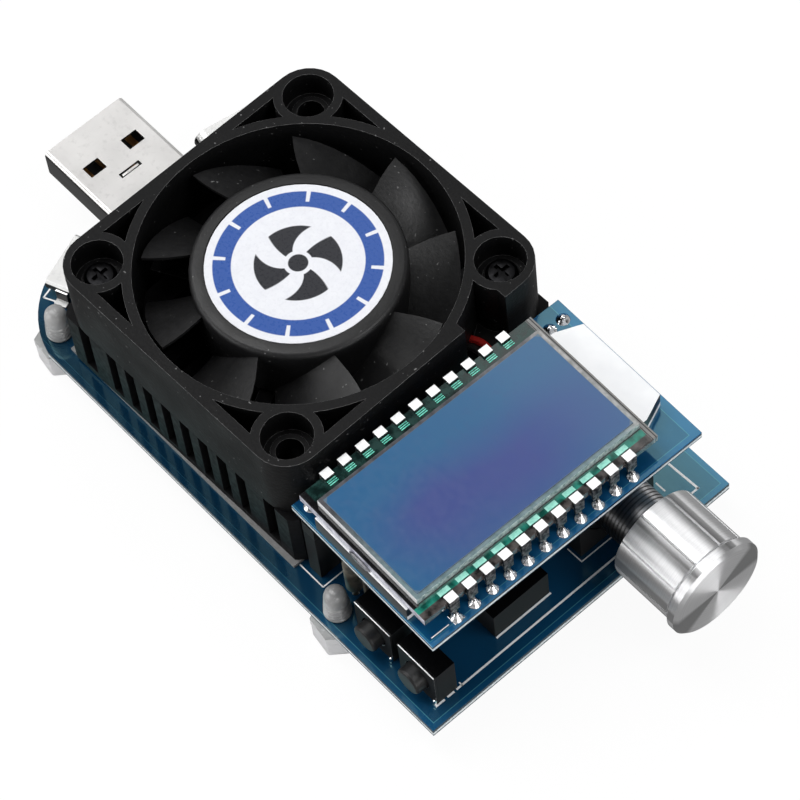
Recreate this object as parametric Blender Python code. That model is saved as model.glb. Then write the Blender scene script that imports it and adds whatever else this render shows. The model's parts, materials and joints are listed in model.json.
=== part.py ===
"""USB electronic load module, modelled as separate pieces. Metres, +Z up, plug end towards -X."""
import bpy
import bmesh
import math

# Main board
BOARD_THICK = 0.0012
BOARD_HALF_WIDTH = 0.0224
BOARD_KNOB_END = 0.04585
BOARD_PLUG_END = 0.0311
BOARD_ARC_RADIUS = 0.01225
BOARD_ARC_TURN = 76.27
CLEAR = 0.00015
RUNNING = 0.00008
SNUG = 0.00003

# Nylon feet
FOOT_HEX_RADIUS = 0.0033
FOOT_HEX_PHASE = -8.5
FOOT_HEAD_HEIGHT = 0.0027
FOOT_NUT_HEIGHT = 0.0013
FOOT_STUD_RADIUS = 0.0014
FOOT_TIP_RADIUS = 0.0017
FOOT_TIP_LENGTH = 0.0006
FOOT_STUD_TOP = 0.0035
FOOT_KNOB_X = 0.0275
FOOT_KNOB_Y = BOARD_HALF_WIDTH - 0.0022
FOOT_PLUG_X = 0.0229
FOOT_PLUG_Y = 0.0196

# USB-A plug
USB_TIP = 0.04115
USB_BACK = 0.0234
USB_Y = -0.0005
USB_WIDTH = 0.012
USB_HEIGHT = 0.0045
USB_WALL = 0.0003
USB_ROUND = 0.0006
USB_WINDOW_TIP = 0.0362
USB_WINDOW_LENGTH = 0.0018
USB_WINDOW_WIDTH = 0.0023
USB_WINDOW_Y = 0.00294
USB_NOTCH_TIP = 0.0325
USB_NOTCH_LENGTH = 0.0007
USB_NOTCH_WIDTH = 0.003
USB_TAB_X = 0.026
USB_TAB_LENGTH = 0.0016
TAIL_DEPTH = 0.0018
TONGUE_SETBACK = 0.0009
TONGUE_THICK = 0.0019
TONGUE_BLOCK = 0.006
CONTACT_WIDTH = 0.0009
CONTACT_THICK = 0.0002
CONTACT_SETBACK = 0.0004
CONTACT_PITCH = 0.0023
CONTACT_FOOT = 0.0013

# Micro-USB socket
MICRO_X = -0.0295
MICRO_Y = -0.0138
MICRO_TURN = 201.2
MICRO_WIDTH = 0.0075
MICRO_HEIGHT = 0.0025
MICRO_DEPTH = 0.005
MICRO_WALL = 0.00025
MICRO_TONGUE_WIDTH = 0.0038
MICRO_TONGUE_THICK = 0.0006
MICRO_WING = 0.001

# USB-C socket
TYPE_C_X = -0.0299
TYPE_C_Y = 0.01365
TYPE_C_TURN = 170.2
TYPE_C_WIDTH = 0.00894
TYPE_C_HEIGHT = 0.0032
TYPE_C_DEPTH = 0.0073
TYPE_C_WALL = 0.0003
TYPE_C_TONGUE_WIDTH = 0.0066
TYPE_C_TONGUE_THICK = 0.0007

# Heat sink and pad
STACK_TURN = 1.29
PAD_THICK = 0.0004
PAD_HALF_LENGTH = 0.02
PAD_HALF_WIDTH = 0.0202
SINK_SIZE = 0.04
SINK_HEIGHT = 0.009
SINK_BASE = 0.001
SINK_SLOT = 0.0016
SINK_PITCH = 0.00317
SINK_OUTER_SLOT = 0.0019
SINK_OUTER_X = 0.0159
SINK_CORNER = 0.001

# Fan
FAN_SIZE = 0.04
FAN_HEIGHT = 0.01
FAN_CORNER = 0.0043
FAN_THROAT = 0.0187
FAN_RING = 0.01985
FAN_WALL = 0.00135
FAN_HOLE_PITCH = 0.032
FAN_BOSS = 0.00405
FAN_HOLE = 0.0016
FAN_COUNTERBORE = 0.003
FAN_COUNTERBORE_DEPTH = 0.0033
FAN_COLLAR = 0.0022
FAN_COLLAR_HEIGHT = 0.0004
FAN_FLOOR = 0.0012
FAN_PLATE = 0.0121
FAN_PLATE_THICK = 0.0009
FAN_STRUT_WIDTH = 0.0018
FAN_TUBE_OUTER = 0.0028
FAN_TUBE_INNER = 0.002
FAN_TUBE_HEIGHT = 0.0056
FAN_NOTCH_ANGLE = 27.5
FAN_NOTCH_WIDTH = 0.0026
HUB_RADIUS = 0.0124
HUB_WALL = 0.0014
HUB_SKIRT = 0.0017
HUB_TOP = 0.0096
HUB_CAP = 0.0014
HUB_RIM_ROUND = 0.0006
HUB_RECESS = 0.00015
LABEL_RADIUS = 0.0106
LABEL_THICK = 0.00012
BLADE_COUNT = 9
BLADE_TIP = 0.018
BLADE_TOP = 0.0086
BLADE_DROP = 0.0063
BLADE_SWEEP = 34.0
BLADE_LEAN = 4.5
BLADE_PHASE = 20.4
BLADE_THICK = 0.0009
SHAFT_RADIUS = 0.001
BEARING_WALL = 0.00075
MAGNET_WALL = 0.0012
STATOR_GAP = 0.00045
STATOR_RADIUS = HUB_RADIUS - HUB_WALL - CLEAR - MAGNET_WALL - STATOR_GAP
STATOR_HEIGHT = 0.003
STATOR_RIM = 0.0012
COIL_START = 0.0021
COIL_WIDTH = 0.52
COIL_REACH = 0.0004
SCREW_RADIUS = 0.0012
SCREW_HEAD_RADIUS = 0.0019
SCREW_HEAD_HEIGHT = 0.0009
SCREW_BITE = 0.0058

# Fan leads and connector
LEAD_RADIUS = 0.00045
SOCKET_X = 0.025
SOCKET_Y = 0.007
SOCKET_LENGTH = 0.0042
SOCKET_WIDTH = 0.0048
SOCKET_HEIGHT = 0.0034
SOCKET_WALL = 0.0006
PLUG_OVERHANG = 0.0008
LEAD_PITCH = 0.00125

# Display
DISPLAY_TURN = -1.04
DISPLAY_FAN_GAP = 0.00081
DISPLAY_LENGTH = 0.02356
DISPLAY_Y_LOW = -0.01938
DISPLAY_Y_HIGH = 0.01944
DISPLAY_GAP = 0.0129
DISPLAY_THICK = 0.001
BACKLIGHT_THICK = 0.0023
BACKLIGHT_WIDTH = 0.01534
BACKLIGHT_LOW = -0.0188
BACKLIGHT_SHOULDER = 0.0158
BACKLIGHT_HIGH = 0.01905
BACKLIGHT_TAPER = 0.0014
REAR_GLASS_WIDTH = 0.0208
REAR_GLASS_LOW = -0.0185
REAR_GLASS_HIGH = 0.0149
REAR_GLASS_THICK = 0.0011
FRONT_GLASS_WIDTH = 0.0165
FRONT_GLASS_LOW = -0.01777
FRONT_GLASS_HIGH = 0.01407
FRONT_GLASS_THICK = 0.001
FRONT_GLASS_SHIFT = 0.00016
POLARISER_INSET = 0.0005
POLARISER_THICK = 0.00015
CLIP_COUNT = 11
CLIP_PITCH = 0.00254
CLIP_FIRST_Y = -0.01465
CLIP_WIDTH = 0.0012
CLIP_METAL = 0.0003
CLIP_REACH = 0.0008
CLIP_LEG_WIDTH = 0.0006
CLIP_TAIL = 0.0008

# Display headers
HEADER_PITCH = 0.002
HEADER_WAYS = 3
HEADER_HEIGHT = 0.0085
HEADER_BLOCK = 0.002
HEADER_PIN = 0.0005
HEADER_PIN_DEPTH = 0.005
HEADER_PIN_TOP = 0.0006
HEADER_1_X = 0.0221
HEADER_1_Y = -0.0158
HEADER_2_X = 0.0236
HEADER_2_Y = 0.01618

# Potentiometer and knob
POT_Y = 0.00958
POT_AXIS_Z = 0.0065
POT_FRONT = 0.0412
POT_BLOCK_DEPTH = 0.0012
POT_BLOCK_TOP = 0.0054
POT_BLOCK_HALF = 0.00558
POT_DEPTH = 0.0068
POT_WIDTH = 0.0098
POT_HEIGHT = 0.01135
POT_COVER_THICK = 0.0005
POT_CAVITY = 0.0041
POT_CAVITY_DEPTH = 0.004
POT_COLLAR = 0.0044
BUSHING_RADIUS = 0.0035
BUSHING_END = 0.0468
POT_SHAFT_RADIUS = 0.003
POT_SPIGOT = 0.0015
WIPER_RADIUS = 0.0038
WIPER_THICK = 0.001
KNOB_BACK = 0.047
KNOB_FACE = 0.0573
KNOB_BODY_RADIUS = 0.00593
KNOB_RIM_RADIUS = 0.0064
KNOB_RIM_LENGTH = 0.0015
KNOB_GROOVE = 0.0004
KNOB_BORE_DEPTH = 0.0076
KNOB_FLUTES = 10
KNOB_FLUTE_PHASE = 34.5
KNOB_FLUTE_DEPTH = 0.0002
KNOB_FLUTE_ANGLE = 4.5

# Push buttons
BUTTON_1_X = 0.03355
BUTTON_2_X = 0.04077
BUTTON_SIZE = 0.006
BUTTON_BACK_Y = -BOARD_HALF_WIDTH + 0.0055
BUTTON_DEPTH = 0.00302
BUTTON_COVER = 0.0003
BUTTON_PLUNGER = 0.00172
BUTTON_FLANGE = 0.0021
BUTTON_FLANGE_THICK = 0.0006
BUTTON_CAVITY_DEPTH = 0.0015
BUTTON_REACH = 0.0015
BUTTON_LEG = 0.0006

# Other parts on the board
CHOKE_X = 0.0419
CHOKE_Y = -0.0056
CHOKE_SIZE = 0.0082
CHOKE_HEIGHT = 0.0037
CHOKE_CORE = 0.0031
CHOKE_GROOVE = 0.0005
RESISTOR_X = 0.0271
RESISTOR_Y = -BOARD_HALF_WIDTH + 0.0052
RESISTOR_RADIUS = 0.001
RESISTOR_LOW = 0.0012
RESISTOR_LENGTH = 0.0064
RESISTOR_LEAD = 0.0003
RESISTOR_LOOP = 0.0022
CHIP_X = 0.0275
CHIP_Y = -0.0035
CHIP_WIDTH = 0.0039
CHIP_LENGTH = 0.0099
CHIP_HEIGHT = 0.0014
CHIP_LEGS = 8
CHIP_PITCH = 0.00127
TRANSISTOR_WIDTH = 0.0066
TRANSISTOR_LENGTH = 0.0061
TRANSISTOR_HEIGHT = 0.0023
SHUNT_X = 0.0112
SHUNT_Y = -0.0064
SHUNT_LENGTH = 0.0064
SHUNT_WIDTH = 0.0032
SHUNT_HEIGHT = 0.0006

# Heights above the main board
SINK_LOW = PAD_THICK
SINK_TOP = PAD_THICK + SINK_HEIGHT
FAN_LOW = SINK_TOP
FAN_TOP = FAN_LOW + FAN_HEIGHT
DISPLAY_LOW = DISPLAY_GAP
DISPLAY_TOP = DISPLAY_GAP + DISPLAY_THICK
REAR_GLASS_Z = DISPLAY_TOP + BACKLIGHT_THICK
FRONT_GLASS_Z = REAR_GLASS_Z + REAR_GLASS_THICK
POLARISER_Z = FRONT_GLASS_Z + FRONT_GLASS_THICK
GROUND = -BOARD_THICK - FOOT_NUT_HEIGHT - FOOT_HEAD_HEIGHT
DISPLAY_X_LOW = FAN_SIZE / 2 + DISPLAY_FAN_GAP
DISPLAY_X_HIGH = DISPLAY_X_LOW + DISPLAY_LENGTH
DISPLAY_MID = (DISPLAY_X_LOW + DISPLAY_X_HIGH) / 2

for old in list(bpy.data.objects):
    bpy.data.objects.remove(old, do_unlink=True)


def empty(name, place, parent=None, turn=0.0):
    marker = bpy.data.objects.new(name, None)
    bpy.context.collection.objects.link(marker)
    marker.parent = parent
    marker.location = place
    marker.rotation_euler = (0.0, 0.0, math.radians(turn))
    marker.empty_display_size = 0.004
    return marker


def finish_of(name, colour, metallic=0.0, rough=0.5, clear=0.0):
    made = bpy.data.materials.new(name + "_finish")
    made.use_nodes = True
    shader = made.node_tree.nodes["Principled BSDF"]
    shader.inputs["Base Color"].default_value = (colour[0], colour[1], colour[2], 1.0)
    shader.inputs["Metallic"].default_value = metallic
    shader.inputs["Roughness"].default_value = rough
    shader.inputs["Transmission Weight"].default_value = clear
    made.diffuse_color = (colour[0], colour[1], colour[2], 1.0)
    return made


def mesh_of(name, shells):
    work = bmesh.new()
    for points, faces in shells:
        corners = [work.verts.new(point) for point in points]
        for face in faces:
            work.faces.new([corners[index] for index in face])
    bmesh.ops.recalc_face_normals(work, faces=work.faces[:])
    mesh = bpy.data.meshes.new(name)
    work.to_mesh(mesh)
    work.free()
    return mesh


def piece(name, shells, parent, colour, metallic=0.0, rough=0.5, clear=0.0, changes=(), smooth=True):
    made = bpy.data.objects.new(name, mesh_of(name, shells))
    bpy.context.collection.objects.link(made)
    made.parent = parent
    cutters = []
    for count, change in enumerate(changes):
        operation, cut_shells = change[0], change[1]
        cutter = bpy.data.objects.new(name + "_tool_" + str(count), mesh_of(name + "_tool", cut_shells))
        bpy.context.collection.objects.link(cutter)
        cutter.parent = change[2] if len(change) > 2 else parent
        cutter.hide_render = True
        cutter.display_type = "WIRE"
        step = made.modifiers.new("shape_" + str(count), "BOOLEAN")
        step.operation = operation
        step.solver = "EXACT"
        step.object = cutter
        cutters.append(cutter)
    if cutters:
        bpy.context.view_layer.update()
        graph = bpy.context.evaluated_depsgraph_get()
        shaped = bpy.data.meshes.new_from_object(made.evaluated_get(graph))
        made.modifiers.clear()
        made.data = shaped
        for cutter in cutters:
            bpy.data.objects.remove(cutter, do_unlink=True)
    made.data.materials.clear()
    made.data.materials.append(finish_of(name, colour, metallic, rough, clear))
    if smooth:
        for polygon in made.data.polygons:
            polygon.use_smooth = True
        made.data.set_sharp_from_angle(angle=math.radians(32))
    return made


def along(axis, a, b, height):
    if axis == "X":
        return (height, a, b)
    if axis == "Y":
        return (a, height, b)
    return (a, b, height)


def prism(outline, low, high, axis="Z"):
    count = len(outline)
    points = [along(axis, a, b, low) for a, b in outline]
    points += [along(axis, a, b, high) for a, b in outline]
    faces = [list(range(count)), list(range(count, 2 * count))]
    for index in range(count):
        after = (index + 1) % count
        faces.append([index, after, count + after, count + index])
    return points, faces


def tube_prism(outer, inner, low, high, axis="Z"):
    count = len(outer)
    points = []
    for height in (low, high):
        for loop in (outer, inner):
            points += [along(axis, a, b, height) for a, b in loop]
    faces = []
    for index in range(count):
        after = (index + 1) % count
        faces.append([index, after, 2 * count + after, 2 * count + index])
        faces.append([count + index, count + after, 3 * count + after, 3 * count + index])
        faces.append([index, after, count + after, count + index])
        faces.append([2 * count + index, 2 * count + after, 3 * count + after, 3 * count + index])
    return points, faces


def box(x_low, x_high, y_low, y_high, z_low, z_high):
    return prism([(x_low, y_low), (x_high, y_low), (x_high, y_high), (x_low, y_high)], z_low, z_high)


def circle(a, b, radius, count=32, phase=0.0):
    steps = [math.radians(phase + 360.0 * index / count) for index in range(count)]
    return [(a + radius * math.cos(step), b + radius * math.sin(step)) for step in steps]


def arc(a, b, radius, start, end, count):
    steps = [math.radians(start + (end - start) * index / count) for index in range(count + 1)]
    return [(a + radius * math.cos(step), b + radius * math.sin(step)) for step in steps]


def rounded(a_low, a_high, b_low, b_high, radius, count=4):
    loop = arc(a_high - radius, b_high - radius, radius, 0, 90, count)
    loop += arc(a_low + radius, b_high - radius, radius, 90, 180, count)
    loop += arc(a_low + radius, b_low + radius, radius, 180, 270, count)
    loop += arc(a_high - radius, b_low + radius, radius, 270, 360, count)
    return loop


def turned(profile, count=48, axis="Z", a=0.0, b=0.0, phase=0.0):
    """Solid of revolution from (radius, height) points; the profile is a closed loop."""
    points = []
    rings = []
    for radius, height in profile:
        if radius < 1e-9:
            rings.append([len(points)])
            points.append(along(axis, a, b, height))
        else:
            start = len(points)
            points += [along(axis, c, d, height) for c, d in circle(a, b, radius, count, phase)]
            rings.append(list(range(start, start + count)))
    faces = []
    for index in range(len(rings)):
        near = rings[index]
        far = rings[(index + 1) % len(rings)]
        if len(near) == 1 and len(far) == 1:
            continue
        for step in range(count):
            after = (step + 1) % count
            if len(near) == 1:
                faces.append([near[0], far[step], far[after]])
            elif len(far) == 1:
                faces.append([near[step], near[after], far[0]])
            else:
                faces.append([near[step], near[after], far[after], far[step]])
    return points, faces


def wire(path, radius, sides=8):
    """Round wire swept along a path of points."""
    count = len(path)
    heads = []
    for index in range(count):
        first = path[max(index - 1, 0)]
        last = path[min(index + 1, count - 1)]
        step = [last[k] - first[k] for k in range(3)]
        size = math.sqrt(sum(value * value for value in step))
        heads.append([value / size for value in step])
    guide = [0.0, 1.0, 0.0]
    points = []
    for index in range(count):
        head = heads[index]
        share = sum(guide[k] * head[k] for k in range(3))
        guide = [guide[k] - share * head[k] for k in range(3)]
        size = math.sqrt(sum(value * value for value in guide))
        guide = [value / size for value in guide]
        other = [head[1] * guide[2] - head[2] * guide[1],
                 head[2] * guide[0] - head[0] * guide[2],
                 head[0] * guide[1] - head[1] * guide[0]]
        for side in range(sides):
            turn = 2 * math.pi * side / sides
            points.append(tuple(path[index][k] + radius * (math.cos(turn) * guide[k] + math.sin(turn) * other[k])
                                for k in range(3)))
    faces = [list(range(sides)), list(range((count - 1) * sides, count * sides))]
    for index in range(count - 1):
        for side in range(sides):
            after = (side + 1) % sides
            low = index * sides
            high = low + sides
            faces.append([low + side, low + after, high + after, high + side])
    return points, faces


def eased(knots, steps=4):
    """Smooth path through the knots."""
    path = []
    last = len(knots) - 1
    for index in range(last):
        p0 = knots[max(index - 1, 0)]
        p1 = knots[index]
        p2 = knots[index + 1]
        p3 = knots[min(index + 2, last)]
        for step in range(steps):
            t = step / steps
            path.append(tuple(0.5 * (2 * p1[k] + (p2[k] - p0[k]) * t
                                     + (2 * p0[k] - 5 * p1[k] + 4 * p2[k] - p3[k]) * t * t
                                     + (3 * p1[k] - p0[k] - 3 * p2[k] + p3[k]) * t ** 3) for k in range(3)))
    path.append(knots[last])
    return path


def swung(point, degrees):
    turn = math.radians(degrees)
    return (point[0] * math.cos(turn) - point[1] * math.sin(turn),
            point[0] * math.sin(turn) + point[1] * math.cos(turn),
            point[2])


# Frames of reference
board = empty("board_frame", ((USB_TIP - KNOB_FACE) / 2, 0.0, -GROUND))
stack = empty("stack_frame", (0.0, 0.0, 0.0), board, STACK_TURN)
display = empty("display_frame", (0.0, 0.0, 0.0), board, DISPLAY_TURN)
micro = empty("micro_usb_frame", (MICRO_X, MICRO_Y, 0.0), board, MICRO_TURN)
type_c = empty("type_c_frame", (TYPE_C_X, TYPE_C_Y, 0.0), board, TYPE_C_TURN)
fan_spin = empty("fan_spin_axis", (0.0, 0.0, 0.0), stack)
knob_turn = empty("knob_turn_axis", (0.0, POT_Y, POT_AXIS_Z), board)
button_1 = empty("button_1_axis", (BUTTON_1_X, BUTTON_BACK_Y, BUTTON_SIZE / 2), board)
button_2 = empty("button_2_axis", (BUTTON_2_X, BUTTON_BACK_Y, BUTTON_SIZE / 2), board)

# Holes in the main board, each from the piece that passes it
board_holes = []
feet = [(FOOT_KNOB_X, -FOOT_KNOB_Y), (FOOT_KNOB_X, FOOT_KNOB_Y),
        (-FOOT_PLUG_X, -FOOT_PLUG_Y), (-FOOT_PLUG_X, FOOT_PLUG_Y)]
for foot_x, foot_y in feet:
    board_holes.append(prism(circle(foot_x, foot_y, FOOT_STUD_RADIUS + CLEAR, 24),
                             -2 * BOARD_THICK, BOARD_THICK))


def board_slot(x_low, x_high, y_low, y_high):
    board_holes.append(box(x_low - CLEAR, x_high + CLEAR, y_low - CLEAR, y_high + CLEAR,
                           -2 * BOARD_THICK, BOARD_THICK))


# Nylon feet
for number, (foot_x, foot_y) in enumerate(feet, 1):
    head = prism(circle(foot_x, foot_y, FOOT_HEX_RADIUS, 6, FOOT_HEX_PHASE), GROUND, GROUND + FOOT_HEAD_HEIGHT)
    stud_low = GROUND + FOOT_HEAD_HEIGHT / 2
    tip = FOOT_STUD_TOP - FOOT_TIP_LENGTH
    stud = turned([(0.0, stud_low), (FOOT_STUD_RADIUS, stud_low), (FOOT_STUD_RADIUS, tip),
                   (FOOT_TIP_RADIUS, tip + FOOT_TIP_LENGTH / 3), (FOOT_TIP_RADIUS, FOOT_STUD_TOP - FOOT_TIP_LENGTH / 4),
                   (FOOT_TIP_RADIUS * 0.8, FOOT_STUD_TOP), (0.0, FOOT_STUD_TOP)], 24, "Z", foot_x, foot_y)
    piece("foot_screw_" + str(number), [head], board, (0.72, 0.71, 0.68), 0.0, 0.35,
          changes=[("UNION", [stud])])
    nut_low = GROUND + FOOT_HEAD_HEIGHT
    nut = prism(circle(foot_x, foot_y, FOOT_HEX_RADIUS, 6, FOOT_HEX_PHASE), nut_low, nut_low + FOOT_NUT_HEIGHT)
    nut_hole = prism(circle(foot_x, foot_y, FOOT_STUD_RADIUS + CLEAR, 24), nut_low - BOARD_THICK, BOARD_THICK)
    piece("foot_nut_" + str(number), [nut], board, (0.7, 0.69, 0.66), 0.0, 0.35,
          changes=[("DIFFERENCE", [nut_hole])])

# USB-A plug
usb_low = USB_Y - USB_WIDTH / 2
usb_high = USB_Y + USB_WIDTH / 2
shell_outer = rounded(usb_low, usb_high, 0.0, USB_HEIGHT, USB_ROUND, 3)
shell_inner = rounded(usb_low + USB_WALL, usb_high - USB_WALL, USB_WALL, USB_HEIGHT - USB_WALL,
                      USB_ROUND - USB_WALL, 3)
windows = []
for side in (-1, 1):
    middle = USB_Y + side * USB_WINDOW_Y
    for level in (0.0, USB_HEIGHT):
        windows.append(box(-USB_WINDOW_TIP, -USB_WINDOW_TIP + USB_WINDOW_LENGTH,
                           middle - USB_WINDOW_WIDTH / 2, middle + USB_WINDOW_WIDTH / 2,
                           level - 2 * USB_WALL, level + 2 * USB_WALL))
windows.append(box(-USB_NOTCH_TIP, -USB_NOTCH_TIP + USB_NOTCH_LENGTH, USB_Y - USB_NOTCH_WIDTH / 2,
                   USB_Y + USB_NOTCH_WIDTH / 2, USB_HEIGHT - 2 * USB_WALL, USB_HEIGHT + USB_WALL))
tabs = []
for low in (usb_low, usb_high - USB_WALL):
    tabs.append(box(-USB_TAB_X, -USB_TAB_X + USB_TAB_LENGTH, low, low + USB_WALL, -TAIL_DEPTH, USB_HEIGHT / 2))
    board_slot(-USB_TAB_X, -USB_TAB_X + USB_TAB_LENGTH, low, low + USB_WALL)
piece("usb_a_shell", [tube_prism(shell_outer, shell_inner, -USB_TIP, -USB_BACK, "X")], board,
      (0.78, 0.78, 0.77), 1.0, 0.25, changes=[("DIFFERENCE", windows), ("UNION", tabs)])

tongue_low = USB_WALL
tongue_top = tongue_low + TONGUE_THICK
tongue_side = [(-USB_TIP + TONGUE_SETBACK, tongue_low), (-USB_BACK, tongue_low),
               (-USB_BACK, USB_HEIGHT - USB_WALL - CLEAR), (-USB_BACK - TONGUE_BLOCK, USB_HEIGHT - USB_WALL - CLEAR),
               (-USB_BACK - TONGUE_BLOCK, tongue_top), (-USB_TIP + TONGUE_SETBACK, tongue_top)]
channels = []
for number in range(4):
    middle = USB_Y + (number - 1.5) * CONTACT_PITCH
    channels.append(box(-USB_BACK - 2 * TONGUE_BLOCK, 0.0, middle - CONTACT_WIDTH / 2 - CLEAR,
                        middle + CONTACT_WIDTH / 2 + CLEAR, tongue_top, tongue_top + CONTACT_THICK + CLEAR))
    foot = -USB_BACK + CLEAR
    strip = [(-USB_TIP + TONGUE_SETBACK + CONTACT_SETBACK, tongue_top), (foot, tongue_top), (foot, 0.0),
             (foot + CONTACT_FOOT, 0.0), (foot + CONTACT_FOOT, CONTACT_THICK), (foot + CONTACT_THICK, CONTACT_THICK),
             (foot + CONTACT_THICK, tongue_top + CONTACT_THICK),
             (-USB_TIP + TONGUE_SETBACK + CONTACT_SETBACK, tongue_top + CONTACT_THICK)]
    piece("usb_a_contact_" + str(number + 1),
          [prism(strip, middle - CONTACT_WIDTH / 2, middle + CONTACT_WIDTH / 2, "Y")], board,
          (0.85, 0.62, 0.28), 1.0, 0.25, smooth=False)
tongue_grow = USB_ROUND - USB_WALL + CLEAR / 3
piece("usb_a_tongue", [prism(tongue_side, usb_low + USB_WALL + tongue_grow, usb_high - USB_WALL - tongue_grow, "Y")],
      board, (0.85, 0.84, 0.8), 0.0, 0.5, changes=[("DIFFERENCE", channels)], smooth=False)

# Micro-USB socket
half = MICRO_WIDTH / 2


def micro_loop(shrink):
    top = MICRO_HEIGHT - shrink
    wide = half - shrink
    return [(-wide + 0.0003, top), (wide - 0.0003, top), (wide, top - 0.0003), (wide, MICRO_HEIGHT * 0.52),
            (wide - 0.001, shrink), (-wide + 0.001, shrink), (-wide, MICRO_HEIGHT * 0.52), (-wide, top - 0.0003)]


wings = []
for side in (-1, 1):
    near = side * (half - MICRO_WALL / 2)
    far = side * (half + MICRO_WING)
    mid = side * (half + MICRO_WALL)
    wing = [(near, MICRO_HEIGHT * 0.75), (mid, MICRO_HEIGHT * 0.75), (mid, MICRO_WALL), (far, MICRO_WALL),
            (far, 0.0), (near, 0.0)]
    wings.append(prism(wing, -0.62 * MICRO_DEPTH, -0.3 * MICRO_DEPTH, "X"))
piece("micro_usb_shell", [tube_prism(micro_loop(0.0), micro_loop(MICRO_WALL), -MICRO_DEPTH, 0.0, "X")], micro,
      (0.75, 0.75, 0.74), 1.0, 0.28, changes=[("UNION", wings)])
micro_plate = box(-MICRO_DEPTH * 0.9, -0.0007, -MICRO_TONGUE_WIDTH / 2, MICRO_TONGUE_WIDTH / 2,
                  MICRO_HEIGHT * 0.5, MICRO_HEIGHT * 0.5 + MICRO_TONGUE_THICK)
piece("micro_usb_tongue", [prism(micro_loop(MICRO_WALL + CLEAR), -MICRO_DEPTH, -MICRO_DEPTH * 0.74, "X")], micro,
      (0.03, 0.03, 0.03), 0.0, 0.5, changes=[("UNION", [micro_plate])], smooth=False)


# USB-C socket
def stadium(shrink):
    radius = TYPE_C_HEIGHT / 2 - shrink
    middle = TYPE_C_HEIGHT / 2
    reach = (TYPE_C_WIDTH - TYPE_C_HEIGHT) / 2
    return arc(reach, middle, radius, -90, 90, 10) + arc(-reach, middle, radius, 90, 270, 10)


type_c_tabs = []
type_c_slots = []
for side in (-1, 1):
    for start in (-0.36, -0.92):
        low = start * TYPE_C_DEPTH
        edge = side * TYPE_C_WIDTH / 2
        inner = edge - side * TYPE_C_WALL
        type_c_tabs.append(box(low, low + 0.001, min(edge, inner), max(edge, inner), -BOARD_THICK, TYPE_C_HEIGHT / 2))
        type_c_slots.append(box(low - CLEAR, low + 0.001 + CLEAR, min(edge, inner) - CLEAR,
                                max(edge, inner) + CLEAR, -2 * BOARD_THICK, BOARD_THICK))
piece("type_c_shell", [tube_prism(stadium(0.0), stadium(TYPE_C_WALL), -TYPE_C_DEPTH, 0.0, "X")], type_c,
      (0.76, 0.76, 0.75), 1.0, 0.25, changes=[("UNION", type_c_tabs)])
type_c_plate = box(-TYPE_C_DEPTH * 0.9, -0.0009, -TYPE_C_TONGUE_WIDTH / 2, TYPE_C_TONGUE_WIDTH / 2,
                   TYPE_C_HEIGHT / 2 - TYPE_C_TONGUE_THICK / 2, TYPE_C_HEIGHT / 2 + TYPE_C_TONGUE_THICK / 2)
piece("type_c_tongue", [prism(stadium(TYPE_C_WALL + CLEAR), -TYPE_C_DEPTH, -TYPE_C_DEPTH * 0.8, "X")], type_c,
      (0.03, 0.03, 0.03), 0.0, 0.5, changes=[("UNION", [type_c_plate])], smooth=False)

# Heat sink with slots along Y, and the pad under it
sink_half = SINK_SIZE / 2
slots = []
for number in range(4):
    middle = (number + 0.5) * SINK_PITCH
    slots += [(middle, SINK_SLOT), (-middle, SINK_SLOT)]
slots += [(SINK_OUTER_X, SINK_OUTER_SLOT), (-SINK_OUTER_X, SINK_OUTER_SLOT)]
comb = [(-sink_half, SINK_LOW), (sink_half, SINK_LOW), (sink_half, SINK_TOP)]
for middle, width in sorted(slots, reverse=True):
    comb += [(middle + width / 2, SINK_TOP), (middle + width / 2, SINK_LOW + SINK_BASE),
             (middle - width / 2, SINK_LOW + SINK_BASE), (middle - width / 2, SINK_TOP)]
comb.append((-sink_half, SINK_TOP))
hole_at = FAN_HOLE_PITCH / 2
screw_tip = SINK_TOP - SCREW_BITE
sink_cuts = []
for side in (-1, 1):
    sink_cuts.append(prism(circle(side * hole_at, side * hole_at, SCREW_RADIUS + CLEAR, 32),
                           screw_tip - CLEAR, SINK_TOP + PAD_THICK))
    for other in (-1, 1):
        corner_x = side * (sink_half + SINK_CORNER)
        corner_y = other * (sink_half + SINK_CORNER)
        sink_cuts.append(prism([(corner_x, corner_y), (corner_x - side * 3 * SINK_CORNER, corner_y),
                                (corner_x, corner_y - other * 3 * SINK_CORNER)], 0.0, 2 * SINK_TOP))
piece("heat_sink", [prism(comb, -sink_half, sink_half, "Y")], stack, (0.02, 0.02, 0.022), 0.6, 0.4,
      changes=[("DIFFERENCE", sink_cuts)])
piece("thermal_pad", [box(-PAD_HALF_LENGTH, PAD_HALF_LENGTH, -PAD_HALF_WIDTH, PAD_HALF_WIDTH, 0.0, PAD_THICK)],
      board, (0.45, 0.45, 0.45), 0.0, 0.9, smooth=False)

# Fan frame
fan_half = FAN_SIZE / 2
ledge = FAN_TOP - FAN_COUNTERBORE_DEPTH
fan_cuts = [prism(circle(0.0, 0.0, FAN_THROAT, 72), 0.0, 2 * FAN_TOP)]
span = math.hypot(hole_at, hole_at)
reach = (FAN_RING ** 2 - FAN_BOSS ** 2 + span ** 2) / (2 * span)
side_step = math.sqrt(FAN_RING ** 2 - reach ** 2)
meet_x = (reach + side_step) / math.sqrt(2)
meet_y = (reach - side_step) / math.sqrt(2)
wall_inner = fan_half - FAN_WALL
ring_start = math.degrees(math.acos(wall_inner / FAN_RING))
ring_end = math.degrees(math.atan2(meet_y, meet_x))
boss_start = math.degrees(math.atan2(meet_y - hole_at, meet_x - hole_at))
boss_end = -math.degrees(math.acos((wall_inner - hole_at) / FAN_BOSS))
pocket = arc(0.0, 0.0, FAN_RING, ring_start, ring_end, 4)
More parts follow.
